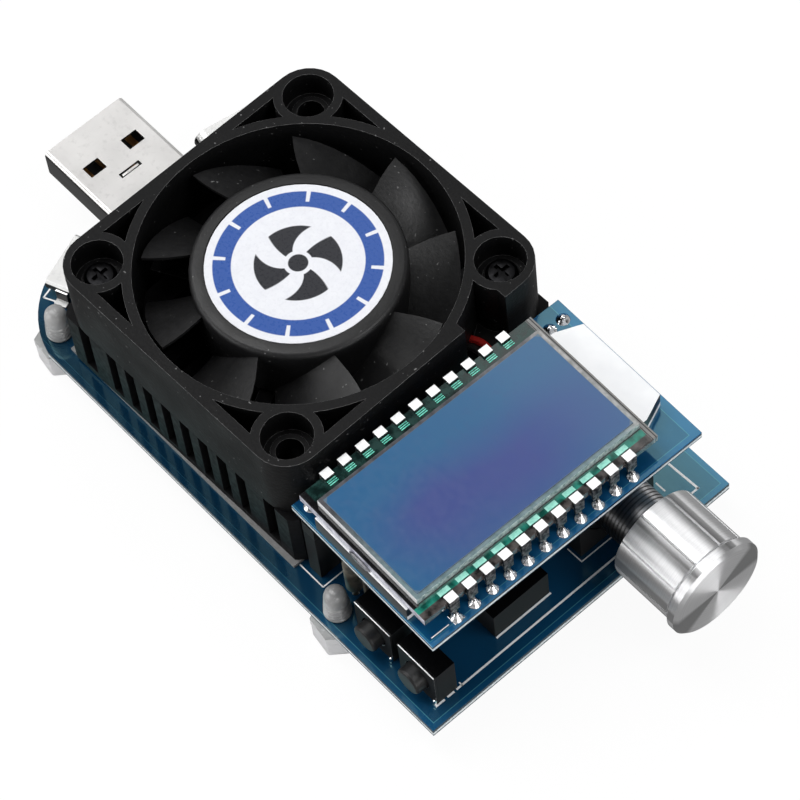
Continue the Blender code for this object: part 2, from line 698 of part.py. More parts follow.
pocket += arc(hole_at, hole_at, FAN_BOSS, boss_start, boss_end, 4)[1:]
open_pocket = [(fan_half + FAN_WALL, pocket[0][1])] + pocket + [(fan_half + FAN_WALL, pocket[-1][1])]
pocket_low = FAN_LOW + FAN_FLOOR
for x_side in (-1, 1):
    for y_side in (-1, 1):
        for swap in (False, True):
            shape = open_pocket if (x_side == 1 and y_side == 1 and not swap) else pocket
            placed = [(b, a) if swap else (a, b) for a, b in shape]
            fan_cuts.append(prism([(x_side * a, y_side * b) for a, b in placed], pocket_low, 2 * FAN_TOP))
        fan_cuts.append(turned([(0.0, 0.0), (FAN_HOLE, 0.0), (FAN_HOLE, ledge), (FAN_COLLAR, ledge),
                                (FAN_COLLAR, ledge - FAN_COLLAR_HEIGHT), (FAN_COUNTERBORE, ledge - FAN_COLLAR_HEIGHT),
                                (FAN_COUNTERBORE, 2 * FAN_TOP), (0.0, 2 * FAN_TOP)], 24, "Z",
                               x_side * hole_at, y_side * hole_at))
notch_turn = math.radians(FAN_NOTCH_ANGLE)


def spoke(start, end, width, low, high, degrees):
    swing = math.radians(degrees)
    corners = [(start, -width / 2), (end, -width / 2), (end, width / 2), (start, width / 2)]
    return prism([(a * math.cos(swing) - b * math.sin(swing), a * math.sin(swing) + b * math.cos(swing))
                  for a, b in corners], low, high)


notch = spoke(FAN_THROAT - 0.001, FAN_RING + 0.0006, FAN_NOTCH_WIDTH, pocket_low,
              pocket_low + 2 * LEAD_RADIUS + 0.0006, FAN_NOTCH_ANGLE)
plate_low = FAN_LOW + 0.0001
plate_top = plate_low + FAN_PLATE_THICK
struts = [spoke(FAN_TUBE_OUTER + 0.002, (FAN_THROAT + FAN_RING) / 2, FAN_STRUT_WIDTH, FAN_LOW + 0.00015,
                pocket_low - 0.00005, FAN_NOTCH_ANGLE + 90 * number) for number in range(4)]
tube_floor = plate_low + 0.0005
tube_top = plate_top + FAN_TUBE_HEIGHT - 0.001
motor_plate = turned([(0.0, plate_low), (FAN_PLATE, plate_low), (FAN_PLATE, plate_top), (FAN_TUBE_OUTER, plate_top),
                      (FAN_TUBE_OUTER, tube_top), (FAN_TUBE_INNER, tube_top), (FAN_TUBE_INNER, tube_floor),
                      (0.0, tube_floor)], 40)
piece("fan_frame", [prism(rounded(-fan_half, fan_half, -fan_half, fan_half, FAN_CORNER, 7), FAN_LOW, FAN_TOP)],
      stack, (0.018, 0.018, 0.019), 0.0, 0.45,
      changes=[("DIFFERENCE", fan_cuts), ("DIFFERENCE", [notch]), ("UNION", struts), ("UNION", [motor_plate])])

# Fan motor
bearing_top = tube_top - CLEAR
piece("fan_bearing", [turned([(SHAFT_RADIUS + RUNNING, tube_floor), (SHAFT_RADIUS + BEARING_WALL, tube_floor),
                              (SHAFT_RADIUS + BEARING_WALL, bearing_top), (SHAFT_RADIUS + RUNNING, bearing_top)], 32)],
      stack, (0.55, 0.38, 0.2), 1.0, 0.4)
core_low = plate_top + 0.0012
core_high = core_low + STATOR_HEIGHT
core = []
for number in range(4):
    middle = 90.0 * number
    core += [(0.0034, -45.0 + middle), (0.0046, -18.0 + middle)]
    core += [(STATOR_RADIUS - STATOR_RIM, -11.0 + middle), (STATOR_RADIUS - 0.0008, -34.0 + middle)]
    core += [(STATOR_RADIUS, -34.0 + middle + 68.0 * step / 6) for step in range(7)]
    core += [(STATOR_RADIUS - 0.0008, 34.0 + middle), (STATOR_RADIUS - STATOR_RIM, 11.0 + middle), (0.0046, 18.0 + middle)]
core_loop = [(radius * math.cos(math.radians(turn)), radius * math.sin(math.radians(turn))) for radius, turn in core]
coils = [spoke(FAN_TUBE_OUTER + COIL_START, STATOR_RADIUS - STATOR_RIM - COIL_REACH, COIL_WIDTH * STATOR_RADIUS,
               core_low - 0.0006, core_high + 0.0006, 90.0 * number) for number in range(4)]
bore = prism(circle(0.0, 0.0, FAN_TUBE_OUTER + CLEAR, 32), 0.0, 2 * FAN_TOP)
piece("fan_stator", [prism(core_loop, core_low, core_high)], stack, (0.45, 0.2, 0.08), 0.8, 0.4,
      changes=[("UNION", coils), ("DIFFERENCE", [bore])])

# Fan rotor
hub_top = FAN_LOW + HUB_TOP
skirt = FAN_LOW + HUB_SKIRT
seat = hub_top - HUB_RECESS
cap_low = seat - HUB_CAP
shaft_top = seat - 0.0006
boss_low = cap_low - 0.0018
hub_inner = HUB_RADIUS - HUB_WALL
blades = []
for number in range(BLADE_COUNT):
    rows = 5
    stations = 8
    upper = []
    lower = []
    for row in range(rows):
        share = row / (rows - 1)
        radius = (HUB_RADIUS - 0.0004) + (BLADE_TIP - HUB_RADIUS + 0.0004) * share
        lead = BLADE_PHASE + 360.0 * number / BLADE_COUNT - BLADE_LEAN * (1 - share) + 1.2 * math.sin(math.pi * share)
        for station in range(stations):
            part = station / (stations - 1)
            turn = math.radians(lead - BLADE_SWEEP * part)
            height = FAN_LOW + BLADE_TOP - BLADE_DROP * part ** 1.2
            body = BLADE_THICK * (0.35 + 0.65 * math.sin(math.pi * min(part + 0.08, 1.0)))
            upper.append((radius * math.cos(turn), radius * math.sin(turn), height))
            lower.append((radius * math.cos(turn), radius * math.sin(turn), height - body))
    points = upper + lower
    shift = len(upper)
    faces = []
    for row in range(rows - 1):
        for station in range(stations - 1):
            near = row * stations + station
            far = near + stations
            faces.append([near, near + 1, far + 1, far])
            faces.append([shift + near, shift + near + 1, shift + far + 1, shift + far])
    rim = list(range(stations))
    rim += [row * stations + stations - 1 for row in range(1, rows)]
    rim += [(rows - 1) * stations + station for station in range(stations - 2, -1, -1)]
    rim += [row * stations for row in range(rows - 2, 0, -1)]
    for index in range(len(rim)):
        after = rim[(index + 1) % len(rim)]
        faces.append([rim[index], after, shift + after, shift + rim[index]])
    blades.append((points, faces))
hub = turned([(0.0, shaft_top), (SHAFT_RADIUS + SNUG, shaft_top), (SHAFT_RADIUS + SNUG, boss_low),
              (0.0024, boss_low), (0.0024, cap_low), (hub_inner, cap_low), (hub_inner, skirt), (HUB_RADIUS, skirt),
              (HUB_RADIUS, hub_top - HUB_RIM_ROUND), (HUB_RADIUS - 0.18 * HUB_RIM_ROUND, hub_top - 0.5 * HUB_RIM_ROUND),
              (HUB_RADIUS - 0.5 * HUB_RIM_ROUND, hub_top - 0.18 * HUB_RIM_ROUND),
              (HUB_RADIUS - HUB_RIM_ROUND, hub_top), (LABEL_RADIUS + CLEAR, hub_top), (LABEL_RADIUS + CLEAR, seat),
              (0.0, seat)], 54)
piece("fan_rotor", [hub], fan_spin, (0.02, 0.02, 0.021), 0.0, 0.4, changes=[("UNION", blades)])
piece("fan_magnet_ring", [turned([(hub_inner - CLEAR - MAGNET_WALL, skirt + 0.0003), (hub_inner - CLEAR, skirt + 0.0003),
                                  (hub_inner - CLEAR, cap_low), (hub_inner - CLEAR - MAGNET_WALL, cap_low)], 40)],
      fan_spin, (0.12, 0.12, 0.12), 0.6, 0.5)
piece("fan_shaft", [prism(circle(0.0, 0.0, SHAFT_RADIUS, 24), tube_floor + CLEAR, shaft_top)], fan_spin,
      (0.7, 0.7, 0.7), 1.0, 0.2)
piece("fan_label", [prism(circle(0.0, 0.0, LABEL_RADIUS, 54), seat, seat + LABEL_THICK)], fan_spin,
      (0.85, 0.85, 0.85), 0.0, 0.35)

# Fan screws
for number, side in enumerate((-1, 1), 1):
    body = turned([(0.0, screw_tip), (0.3 * SCREW_RADIUS, screw_tip), (SCREW_RADIUS, screw_tip + 0.0012),
                   (SCREW_RADIUS, ledge), (SCREW_HEAD_RADIUS, ledge), (SCREW_HEAD_RADIUS, ledge + 0.5 * SCREW_HEAD_HEIGHT),
                   (0.8 * SCREW_HEAD_RADIUS, ledge + 0.9 * SCREW_HEAD_HEIGHT),
                   (0.5 * SCREW_HEAD_RADIUS, ledge + SCREW_HEAD_HEIGHT), (0.0, ledge + SCREW_HEAD_HEIGHT)],
                  24, "Z", side * hole_at, side * hole_at)
    long, thin = 0.55 * SCREW_HEAD_RADIUS, 0.13 * SCREW_HEAD_RADIUS
    loop = [(long, -thin), (long, thin), (thin, thin), (thin, long), (-thin, long), (-thin, thin), (-long, thin),
            (-long, -thin), (-thin, -thin), (-thin, -long), (thin, -long), (thin, -thin)]
    cross = prism([(side * hole_at + a, side * hole_at + b) for a, b in loop], ledge + 0.35 * SCREW_HEAD_HEIGHT,
                  ledge + 2 * SCREW_HEAD_HEIGHT)
    piece("fan_screw_" + str(number), [body], stack, (0.03, 0.03, 0.03), 0.8, 0.35,
          changes=[("DIFFERENCE", [cross])])

# Fan connector and leads
socket_end = SOCKET_X + SOCKET_LENGTH
socket_low = SOCKET_Y - SOCKET_WIDTH / 2
socket_high = SOCKET_Y + SOCKET_WIDTH / 2
socket_hole = box(0.0, socket_end - SOCKET_WALL, socket_low + SOCKET_WALL, socket_high - SOCKET_WALL,
                  SOCKET_WALL, SOCKET_HEIGHT - SOCKET_WALL)
piece("fan_socket", [box(SOCKET_X, socket_end, socket_low, socket_high, 0.0, SOCKET_HEIGHT)], board,
      (0.85, 0.83, 0.78), 0.0, 0.5, changes=[("DIFFERENCE", [socket_hole])], smooth=False)
plug_back = SOCKET_X - PLUG_OVERHANG
piece("fan_plug", [box(plug_back, socket_end - SOCKET_WALL - CLEAR, socket_low + SOCKET_WALL + CLEAR,
                       socket_high - SOCKET_WALL - CLEAR, SOCKET_WALL + CLEAR, SOCKET_HEIGHT - SOCKET_WALL - CLEAR)],
      board, (0.9, 0.88, 0.84), 0.0, 0.5, smooth=False)
lead_z = pocket_low + LEAD_RADIUS + CLEAR
lead_out = fan_half + LEAD_RADIUS + CLEAR
ring_mid = (FAN_THROAT + FAN_RING) / 2
for name, colour, angle, y_side in (("fan_lead_red", (0.35, 0.02, 0.02), 29.3, 1),
                                    ("fan_lead_black", (0.02, 0.02, 0.02), 25.7, -1)):
    begin = (ring_mid * math.cos(math.radians(angle)), ring_mid * math.sin(math.radians(angle)), lead_z)
    start_y = begin[1]
    knots = [swung(begin, STACK_TURN),
             swung((fan_half - 0.0015, start_y + 0.0006, lead_z + 0.0004), STACK_TURN),
             swung((lead_out - 0.0003, start_y + 0.0005, lead_z + 0.0005), STACK_TURN),
             swung((lead_out + 0.0005, start_y - 0.0002, lead_z - 0.001), STACK_TURN),
             swung((lead_out + 0.0008, start_y - 0.0012, FAN_LOW - 0.002), STACK_TURN),
             (plug_back - 0.003, SOCKET_Y + y_side * LEAD_PITCH / 2 + y_side * 0.0002, SOCKET_HEIGHT + 0.0014),
             (plug_back - 0.0012, SOCKET_Y + y_side * LEAD_PITCH / 2, SOCKET_HEIGHT / 2 + 0.0002),
             (plug_back, SOCKET_Y + y_side * LEAD_PITCH / 2, SOCKET_HEIGHT / 2)]
    piece(name, [wire(eased(knots), LEAD_RADIUS)], board, colour, 0.0, 0.4)

# Display board with its edge clips
clip_plate = REAR_GLASS_WIDTH / 2 + CLEAR
clip_out = clip_plate + CLIP_METAL
clip_in = clip_plate - CLIP_REACH
leaf_low = REAR_GLASS_Z - 0.0001 - CLIP_METAL
leaf_high = FRONT_GLASS_Z + 0.0001
clips = []
legs = []
for side in (-1, 1):
    for number in range(CLIP_COUNT):
        middle = CLIP_FIRST_Y + CLIP_PITCH * number
        loop = [(clip_in, leaf_low), (clip_out, leaf_low), (clip_out, leaf_high + CLIP_METAL * 0.6),
                (clip_out - CLIP_METAL * 0.4, leaf_high + CLIP_METAL), (clip_in, leaf_high + CLIP_METAL),
                (clip_in, leaf_high), (clip_plate, leaf_high), (clip_plate, leaf_low + CLIP_METAL),
                (clip_in, leaf_low + CLIP_METAL)]
        clips.append(prism([(DISPLAY_MID + side * a, b) for a, b in loop], middle - CLIP_WIDTH / 2,
                           middle + CLIP_WIDTH / 2, "Y"))
        leg_a = DISPLAY_MID + side * clip_plate
        leg_b = DISPLAY_MID + side * (clip_out - 0.00002)
        legs.append(box(min(leg_a, leg_b), max(leg_a, leg_b), middle - CLIP_LEG_WIDTH / 2, middle + CLIP_LEG_WIDTH / 2,
                        DISPLAY_LOW - CLIP_TAIL, leaf_low + CLIP_METAL / 2))
pin_holes = []
headers = [(HEADER_1_X, HEADER_1_Y), (HEADER_2_X, HEADER_2_Y)]
for head_x, head_y in headers:
    for number in range(HEADER_WAYS):
        pin_y = head_y + (number - (HEADER_WAYS - 1) / 2) * HEADER_PITCH
        pin_holes.append(prism(circle(head_x, pin_y, HEADER_PIN * 0.72 + CLEAR, 16), DISPLAY_LOW / 2, 2 * DISPLAY_TOP))
piece("display_board", [box(DISPLAY_X_LOW, DISPLAY_X_HIGH, DISPLAY_Y_LOW, DISPLAY_Y_HIGH, DISPLAY_LOW, DISPLAY_TOP)],
      display, (0.02, 0.06, 0.2), 0.0, 0.35,
      changes=[("UNION", legs), ("UNION", clips), ("DIFFERENCE", pin_holes, board)], smooth=False)

# Display headers
for number, (head_x, head_y) in enumerate(headers, 1):
    length = HEADER_WAYS * HEADER_PITCH
    wide = HEADER_PITCH / 2
    wells = []
    pins = []
    for way in range(HEADER_WAYS):
        pin_y = head_y + (way - (HEADER_WAYS - 1) / 2) * HEADER_PITCH
        pin = HEADER_PIN / 2
        wells.append(box(head_x - pin - CLEAR, head_x + pin + CLEAR, pin_y - pin - CLEAR, pin_y + pin + CLEAR,
                         HEADER_HEIGHT - HEADER_PIN_DEPTH - CLEAR, 2 * HEADER_HEIGHT))
        pins.append(box(head_x - pin, head_x + pin, pin_y - pin, pin_y + pin,
                        HEADER_HEIGHT - HEADER_PIN_DEPTH, DISPLAY_TOP + HEADER_PIN_TOP))
    piece("header_socket_" + str(number), [box(head_x - wide, head_x + wide, head_y - length / 2, head_y + length / 2,
                                               0.0, HEADER_HEIGHT)], board, (0.02, 0.02, 0.02), 0.0, 0.5,
          changes=[("DIFFERENCE", wells)], smooth=False)
    piece("header_pins_" + str(number), [box(head_x - wide, head_x + wide, head_y - length / 2, head_y + length / 2,
                                             HEADER_HEIGHT, HEADER_HEIGHT + HEADER_BLOCK)], board,
          (0.02, 0.02, 0.02), 0.0, 0.5, changes=[("UNION", pins)], smooth=False)

# Display stack
light_half = BACKLIGHT_WIDTH / 2
light = [(DISPLAY_MID - light_half, BACKLIGHT_LOW), (DISPLAY_MID + light_half, BACKLIGHT_LOW),
         (DISPLAY_MID + light_half, BACKLIGHT_SHOULDER), (DISPLAY_MID + light_half - BACKLIGHT_TAPER, BACKLIGHT_HIGH),
         (DISPLAY_MID - light_half + BACKLIGHT_TAPER, BACKLIGHT_HIGH), (DISPLAY_MID - light_half, BACKLIGHT_SHOULDER)]
piece("lcd_backlight", [prism(light, DISPLAY_TOP, REAR_GLASS_Z)], display, (0.9, 0.9, 0.92), 0.0, 0.4, smooth=False)
piece("lcd_rear_glass", [box(DISPLAY_MID - REAR_GLASS_WIDTH / 2, DISPLAY_MID + REAR_GLASS_WIDTH / 2, REAR_GLASS_LOW,
                             REAR_GLASS_HIGH, REAR_GLASS_Z, FRONT_GLASS_Z)], display,
      (0.2, 0.45, 0.42), 0.0, 0.1, 0.3, smooth=False)
front_mid = DISPLAY_MID + FRONT_GLASS_SHIFT
front_half = FRONT_GLASS_WIDTH / 2
piece("lcd_front_glass", [box(front_mid - front_half, front_mid + front_half, FRONT_GLASS_LOW, FRONT_GLASS_HIGH,
                              FRONT_GLASS_Z, POLARISER_Z)], display, (0.25, 0.3, 0.35), 0.0, 0.1, 0.3, smooth=False)
piece("lcd_polariser", [box(front_mid - front_half + POLARISER_INSET, front_mid + front_half - POLARISER_INSET,
                            FRONT_GLASS_LOW + POLARISER_INSET, FRONT_GLASS_HIGH - POLARISER_INSET,
                            POLARISER_Z, POLARISER_Z + POLARISER_THICK)], display,
      (0.1, 0.15, 0.3), 0.0, 0.15, smooth=False)

# Potentiometer
pot_back = POT_FRONT - POT_DEPTH + POT_COVER_THICK
pot_step = POT_FRONT - POT_BLOCK_DEPTH
half = POT_WIDTH / 2
cavity_end = pot_back + POT_CAVITY_DEPTH
pot_block = box(pot_step - 0.001, POT_FRONT, POT_Y - POT_BLOCK_HALF, POT_Y + POT_BLOCK_HALF, 0.0, POT_BLOCK_TOP)
pot_pins = []
for number in (-1, 0, 1):
    pin_x = pot_back + 0.0025
    pin_y = POT_Y + number * 0.0025
    pot_pins.append(box(pin_x - 0.0003, pin_x + 0.0003, pin_y - 0.0003, pin_y + 0.0003, -TAIL_DEPTH, 0.0006))
    board_slot(pin_x - 0.0003, pin_x + 0.0003, pin_y - 0.0003, pin_y + 0.0003)
pot_room = [turned([(0.0, pot_back - 0.002), (POT_CAVITY, pot_back - 0.002), (POT_CAVITY, cavity_end),
                    (POT_SHAFT_RADIUS + RUNNING, cavity_end), (POT_SHAFT_RADIUS + RUNNING, pot_step),
                    (POT_COLLAR + CLEAR, pot_step), (POT_COLLAR + CLEAR, POT_FRONT + 0.002), (0.0, POT_FRONT + 0.002)],
                   32, "X", POT_Y, POT_AXIS_Z)]
piece("pot_body", [box(pot_back, pot_step, POT_Y - half, POT_Y + half, 0.0, POT_HEIGHT)], board,
      (0.02, 0.02, 0.022), 0.0, 0.45,
      changes=[("UNION", [pot_block]), ("UNION", pot_pins), ("DIFFERENCE", pot_room)])
piece("pot_cover", [box(pot_back - POT_COVER_THICK, pot_back, POT_Y - half, POT_Y + half, 0.0006, POT_HEIGHT)],
      board, (0.6, 0.6, 0.58), 1.0, 0.35, smooth=False)
piece("pot_bushing", [turned([(POT_SHAFT_RADIUS + RUNNING, pot_step), (POT_COLLAR, pot_step), (POT_COLLAR, POT_FRONT),
                              (BUSHING_RADIUS, POT_FRONT), (BUSHING_RADIUS, BUSHING_END - 0.0003),
                              (BUSHING_RADIUS - 0.00015, BUSHING_END), (POT_SHAFT_RADIUS + RUNNING, BUSHING_END)],
                             36, "X", POT_Y, POT_AXIS_Z)], board, (0.3, 0.3, 0.3), 1.0, 0.35)
bore_end = KNOB_BACK + KNOB_BORE_DEPTH
spigot_end = cavity_end - 0.0004
shaft_back = pot_back + 0.0008
piece("pot_shaft", [turned([(0.0, shaft_back), (POT_SPIGOT, shaft_back), (POT_SPIGOT, shaft_back + WIPER_THICK),
                            (POT_SHAFT_RADIUS, shaft_back + WIPER_THICK), (POT_SHAFT_RADIUS, bore_end), (0.0, bore_end)],
                           32, "X")], knob_turn, (0.5, 0.5, 0.5), 1.0, 0.3)
piece("pot_wiper", [turned([(POT_SPIGOT + CLEAR, shaft_back), (WIPER_RADIUS, shaft_back),
                            (WIPER_RADIUS, shaft_back + WIPER_THICK), (POT_SPIGOT + CLEAR, shaft_back + WIPER_THICK)],
                           32, "X")], knob_turn, (0.6, 0.45, 0.25), 1.0, 0.35)

# Knob
rim_low = KNOB_FACE - KNOB_RIM_LENGTH
neck = KNOB_BODY_RADIUS - 0.0004
knob_cuts = []
for number in range(KNOB_FLUTES):
    turn = KNOB_FLUTE_PHASE + 360.0 * number / KNOB_FLUTES
    vee = [(KNOB_BODY_RADIUS - KNOB_FLUTE_DEPTH, turn), (KNOB_BODY_RADIUS + KNOB_FLUTE_DEPTH, turn - KNOB_FLUTE_ANGLE),
           (KNOB_BODY_RADIUS + KNOB_FLUTE_DEPTH, turn + KNOB_FLUTE_ANGLE)]
    knob_cuts.append(prism([(radius * math.cos(math.radians(at)), radius * math.sin(math.radians(at)))
                            for radius, at in vee], KNOB_BACK - 0.001, rim_low - KNOB_GROOVE / 2, "X"))
piece("knob", [turned([(POT_SHAFT_RADIUS + SNUG, KNOB_BACK), (KNOB_BODY_RADIUS - 0.0003, KNOB_BACK),
                       (KNOB_BODY_RADIUS, KNOB_BACK + 0.0003), (KNOB_BODY_RADIUS, rim_low - KNOB_GROOVE),
                       (neck, rim_low - KNOB_GROOVE * 0.8), (neck, rim_low - 0.0001), (KNOB_RIM_RADIUS - 0.0001, rim_low),
                       (KNOB_RIM_RADIUS, rim_low + 0.0001), (KNOB_RIM_RADIUS, KNOB_FACE - 0.0003),
                       (KNOB_RIM_RADIUS - 0.0003, KNOB_FACE), (0.0, KNOB_FACE), (0.0, bore_end),
                       (POT_SHAFT_RADIUS + SNUG, bore_end)], 80, "X")], knob_turn,
      (0.8, 0.8, 0.8), 1.0, 0.25, changes=[("DIFFERENCE", knob_cuts)])

# Push buttons, pressed towards +Y
cover_y = BUTTON_DEPTH - BUTTON_COVER
for number, (axis, middle) in enumerate(((button_1, BUTTON_1_X), (button_2, BUTTON_2_X)), 1):
    label = "button_" + str(number)
    half = BUTTON_SIZE / 2
    back = BUTTON_BACK_Y
    cover_back = back - cover_y
    front = back - BUTTON_DEPTH
    leg_boxes = []
    for side in (-1, 1):
        leg_x = middle + side * (half - 0.0008)
        leg_y = back - BUTTON_DEPTH / 2
        leg_boxes.append(box(leg_x - BUTTON_LEG / 2, leg_x + BUTTON_LEG / 2, leg_y - BUTTON_LEG / 2,
                             leg_y + BUTTON_LEG / 2, -TAIL_DEPTH, 0.0005))
        board_slot(leg_x - BUTTON_LEG / 2, leg_x + BUTTON_LEG / 2, leg_y - BUTTON_LEG / 2, leg_y + BUTTON_LEG / 2)
    room = prism(circle(middle, half, BUTTON_FLANGE + CLEAR, 32), cover_back - 0.001,
                 cover_back + BUTTON_CAVITY_DEPTH, "Y")
    piece(label + "_body", [box(middle - half, middle + half, cover_back, back, 0.0, BUTTON_SIZE)], board,
          (0.02, 0.02, 0.02), 0.0, 0.5, changes=[("UNION", leg_boxes), ("DIFFERENCE", [room])], smooth=False)
    mouth = prism(circle(middle, half, BUTTON_PLUNGER + CLEAR, 32), front - 0.001, cover_back + 0.001, "Y")
    piece(label + "_cover", [box(middle - half, middle + half, front, cover_back, 0.0, BUTTON_SIZE)], board,
          (0.03, 0.03, 0.03), 0.0, 0.35, changes=[("DIFFERENCE", [mouth])], smooth=False)
    flange_front = -cover_y + CLEAR
    flange_back = flange_front + BUTTON_FLANGE_THICK
    tip = -BUTTON_DEPTH - BUTTON_REACH
    piece(label + "_plunger", [turned([(0.0, flange_back), (BUTTON_FLANGE, flange_back), (BUTTON_FLANGE, flange_front),
                                       (BUTTON_PLUNGER, flange_front), (BUTTON_PLUNGER, tip + 0.0002),
                                       (BUTTON_PLUNGER - 0.0002, tip), (0.0, tip)], 32, "Y")], axis,
          (0.04, 0.04, 0.042), 0.0, 0.35)

# Filter inductor
choke_low = CHOKE_X - CHOKE_SIZE
choke_middle = CHOKE_X - CHOKE_SIZE / 2
ring_cut = tube_prism(circle(choke_middle, CHOKE_Y, CHOKE_CORE + CHOKE_GROOVE, 40),
                      circle(choke_middle, CHOKE_Y, CHOKE_CORE, 40), CHOKE_HEIGHT - CHOKE_GROOVE, CHOKE_HEIGHT + 0.001)
corner = 0.0007
choke_half = CHOKE_SIZE / 2
choke_loop = [(choke_low + corner, CHOKE_Y - choke_half), (CHOKE_X - corner, CHOKE_Y - choke_half),
              (CHOKE_X, CHOKE_Y - choke_half + corner), (CHOKE_X, CHOKE_Y + choke_half - corner),
              (CHOKE_X - corner, CHOKE_Y + choke_half), (choke_low + corner, CHOKE_Y + choke_half),
              (choke_low, CHOKE_Y + choke_half - corner), (choke_low, CHOKE_Y - choke_half + corner)]
piece("filter_inductor", [prism(choke_loop, 0.0, CHOKE_HEIGHT)], board, (0.03, 0.03, 0.03), 0.0, 0.55,
      changes=[("DIFFERENCE", [ring_cut])])

# Upright resistor with its looped lead
body_top = RESISTOR_LOW + RESISTOR_LENGTH
resistor_body = turned([(0.0, RESISTOR_LOW), (RESISTOR_RADIUS * 0.6, RESISTOR_LOW), (RESISTOR_RADIUS, RESISTOR_LOW + 0.0006),
                        (RESISTOR_RADIUS, body_top - 0.0006), (RESISTOR_RADIUS * 0.6, body_top), (0.0, body_top)],
                       24, "Z", RESISTOR_X, RESISTOR_Y)
far_x = RESISTOR_X + RESISTOR_LOOP
over = body_top + 0.0006
bend = RESISTOR_LOOP / 2
loop_top = [(RESISTOR_X + bend - bend * math.cos(math.radians(30 * step)), RESISTOR_Y,
             over + bend * math.sin(math.radians(30 * step))) for step in range(7)]
lead_path = [(RESISTOR_X, RESISTOR_Y, -BOARD_THICK)] + loop_top + [(far_x, RESISTOR_Y, -BOARD_THICK)]
for lead_x in (RESISTOR_X, far_x):
    board_holes.append(prism(circle(lead_x, RESISTOR_Y, RESISTOR_LEAD + CLEAR, 16), -2 * BOARD_THICK, BOARD_THICK))
piece("upright_resistor", [resistor_body], board, (0.3, 0.2, 0.08), 0.0, 0.4,
      changes=[("UNION", [wire(lead_path, RESISTOR_LEAD)])])

# Control chip
chip_half = CHIP_WIDTH / 2
chip_legs = []
for side in (-1, 1):
    for number in range(CHIP_LEGS):
        middle = CHIP_Y + (number - (CHIP_LEGS - 1) / 2) * CHIP_PITCH
        loop = [(chip_half - 0.0003, 0.0009), (chip_half - 0.0003, 0.0007), (chip_half + 0.0003, 0.0007),
                (chip_half + 0.0003, 0.0), (chip_half + 0.001, 0.0), (chip_half + 0.001, 0.0002),
                (chip_half + 0.0005, 0.0002), (chip_half + 0.0005, 0.0009)]
        chip_legs.append(prism([(CHIP_X + side * a, b) for a, b in loop], middle - 0.0002, middle + 0.0002, "Y"))
piece("control_chip", [box(CHIP_X - chip_half, CHIP_X + chip_half, CHIP_Y - CHIP_LENGTH / 2, CHIP_Y + CHIP_LENGTH / 2,
                           0.00015, 0.00015 + CHIP_HEIGHT)], board, (0.03, 0.03, 0.03), 0.0, 0.5,
      changes=[("UNION", chip_legs)], smooth=False)

# Power transistor and shunt on the underside
under = -BOARD_THICK
tab = box(-TRANSISTOR_WIDTH * 0.4, TRANSISTOR_WIDTH * 0.4, TRANSISTOR_LENGTH / 2 - 0.0005,
          TRANSISTOR_LENGTH / 2 + 0.0011, under - 0.0005, under)
transistor_legs = []
for side in (-1, 1):
    leg = [(-TRANSISTOR_LENGTH / 2 + 0.0005, under - 0.0012), (-TRANSISTOR_LENGTH / 2 + 0.0005, under - 0.0007),
           (-TRANSISTOR_LENGTH / 2 - 0.0007, under - 0.0007), (-TRANSISTOR_LENGTH / 2 - 0.0007, under),
           (-TRANSISTOR_LENGTH / 2 - 0.0024, under), (-TRANSISTOR_LENGTH / 2 - 0.0024, under - 0.0005),
           (-TRANSISTOR_LENGTH / 2 - 0.0012, under - 0.0005), (-TRANSISTOR_LENGTH / 2 - 0.0012, under - 0.0012)]
    transistor_legs.append(prism(leg, side * 0.0023 - 0.0004, side * 0.0023 + 0.0004, "X"))
piece("power_transistor", [box(-TRANSISTOR_WIDTH / 2, TRANSISTOR_WIDTH / 2, -TRANSISTOR_LENGTH / 2,
                               TRANSISTOR_LENGTH / 2, under - TRANSISTOR_HEIGHT, under - 0.00005)], board,
      (0.03, 0.03, 0.03), 0.0, 0.5, changes=[("UNION", [tab]), ("UNION", transistor_legs)], smooth=False)
piece("shunt_resistor", [box(SHUNT_X - SHUNT_LENGTH / 2, SHUNT_X + SHUNT_LENGTH / 2, SHUNT_Y - SHUNT_WIDTH / 2,
                             SHUNT_Y + SHUNT_WIDTH / 2, under - SHUNT_HEIGHT, under)], board,
      (0.05, 0.05, 0.05), 0.0, 0.5, smooth=False)

# Main board, with every hole its neighbours need
corner_x = -BOARD_PLUG_END + BOARD_ARC_RADIUS
corner_y = BOARD_HALF_WIDTH - BOARD_ARC_RADIUS * math.sin(math.radians(BOARD_ARC_TURN))
outline = [(BOARD_KNOB_END, -BOARD_HALF_WIDTH), (BOARD_KNOB_END, BOARD_HALF_WIDTH)]
outline += arc(corner_x, corner_y, BOARD_ARC_RADIUS, 180 - BOARD_ARC_TURN, 180, 14)
outline += arc(corner_x, -corner_y, BOARD_ARC_RADIUS, 180, 180 + BOARD_ARC_TURN, 14)
piece("main_board", [prism(outline, -BOARD_THICK, 0.0)], board, (0.02, 0.06, 0.2), 0.0, 0.35,
      changes=[("DIFFERENCE", [hole]) for hole in board_holes] + [("DIFFERENCE", type_c_slots, type_c)])
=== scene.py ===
"""Looks of the small USB electronic load: fine pieces, finishes and studio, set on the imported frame."""
import bmesh
import bpy
import json
import math
from mathutils import Matrix, Vector

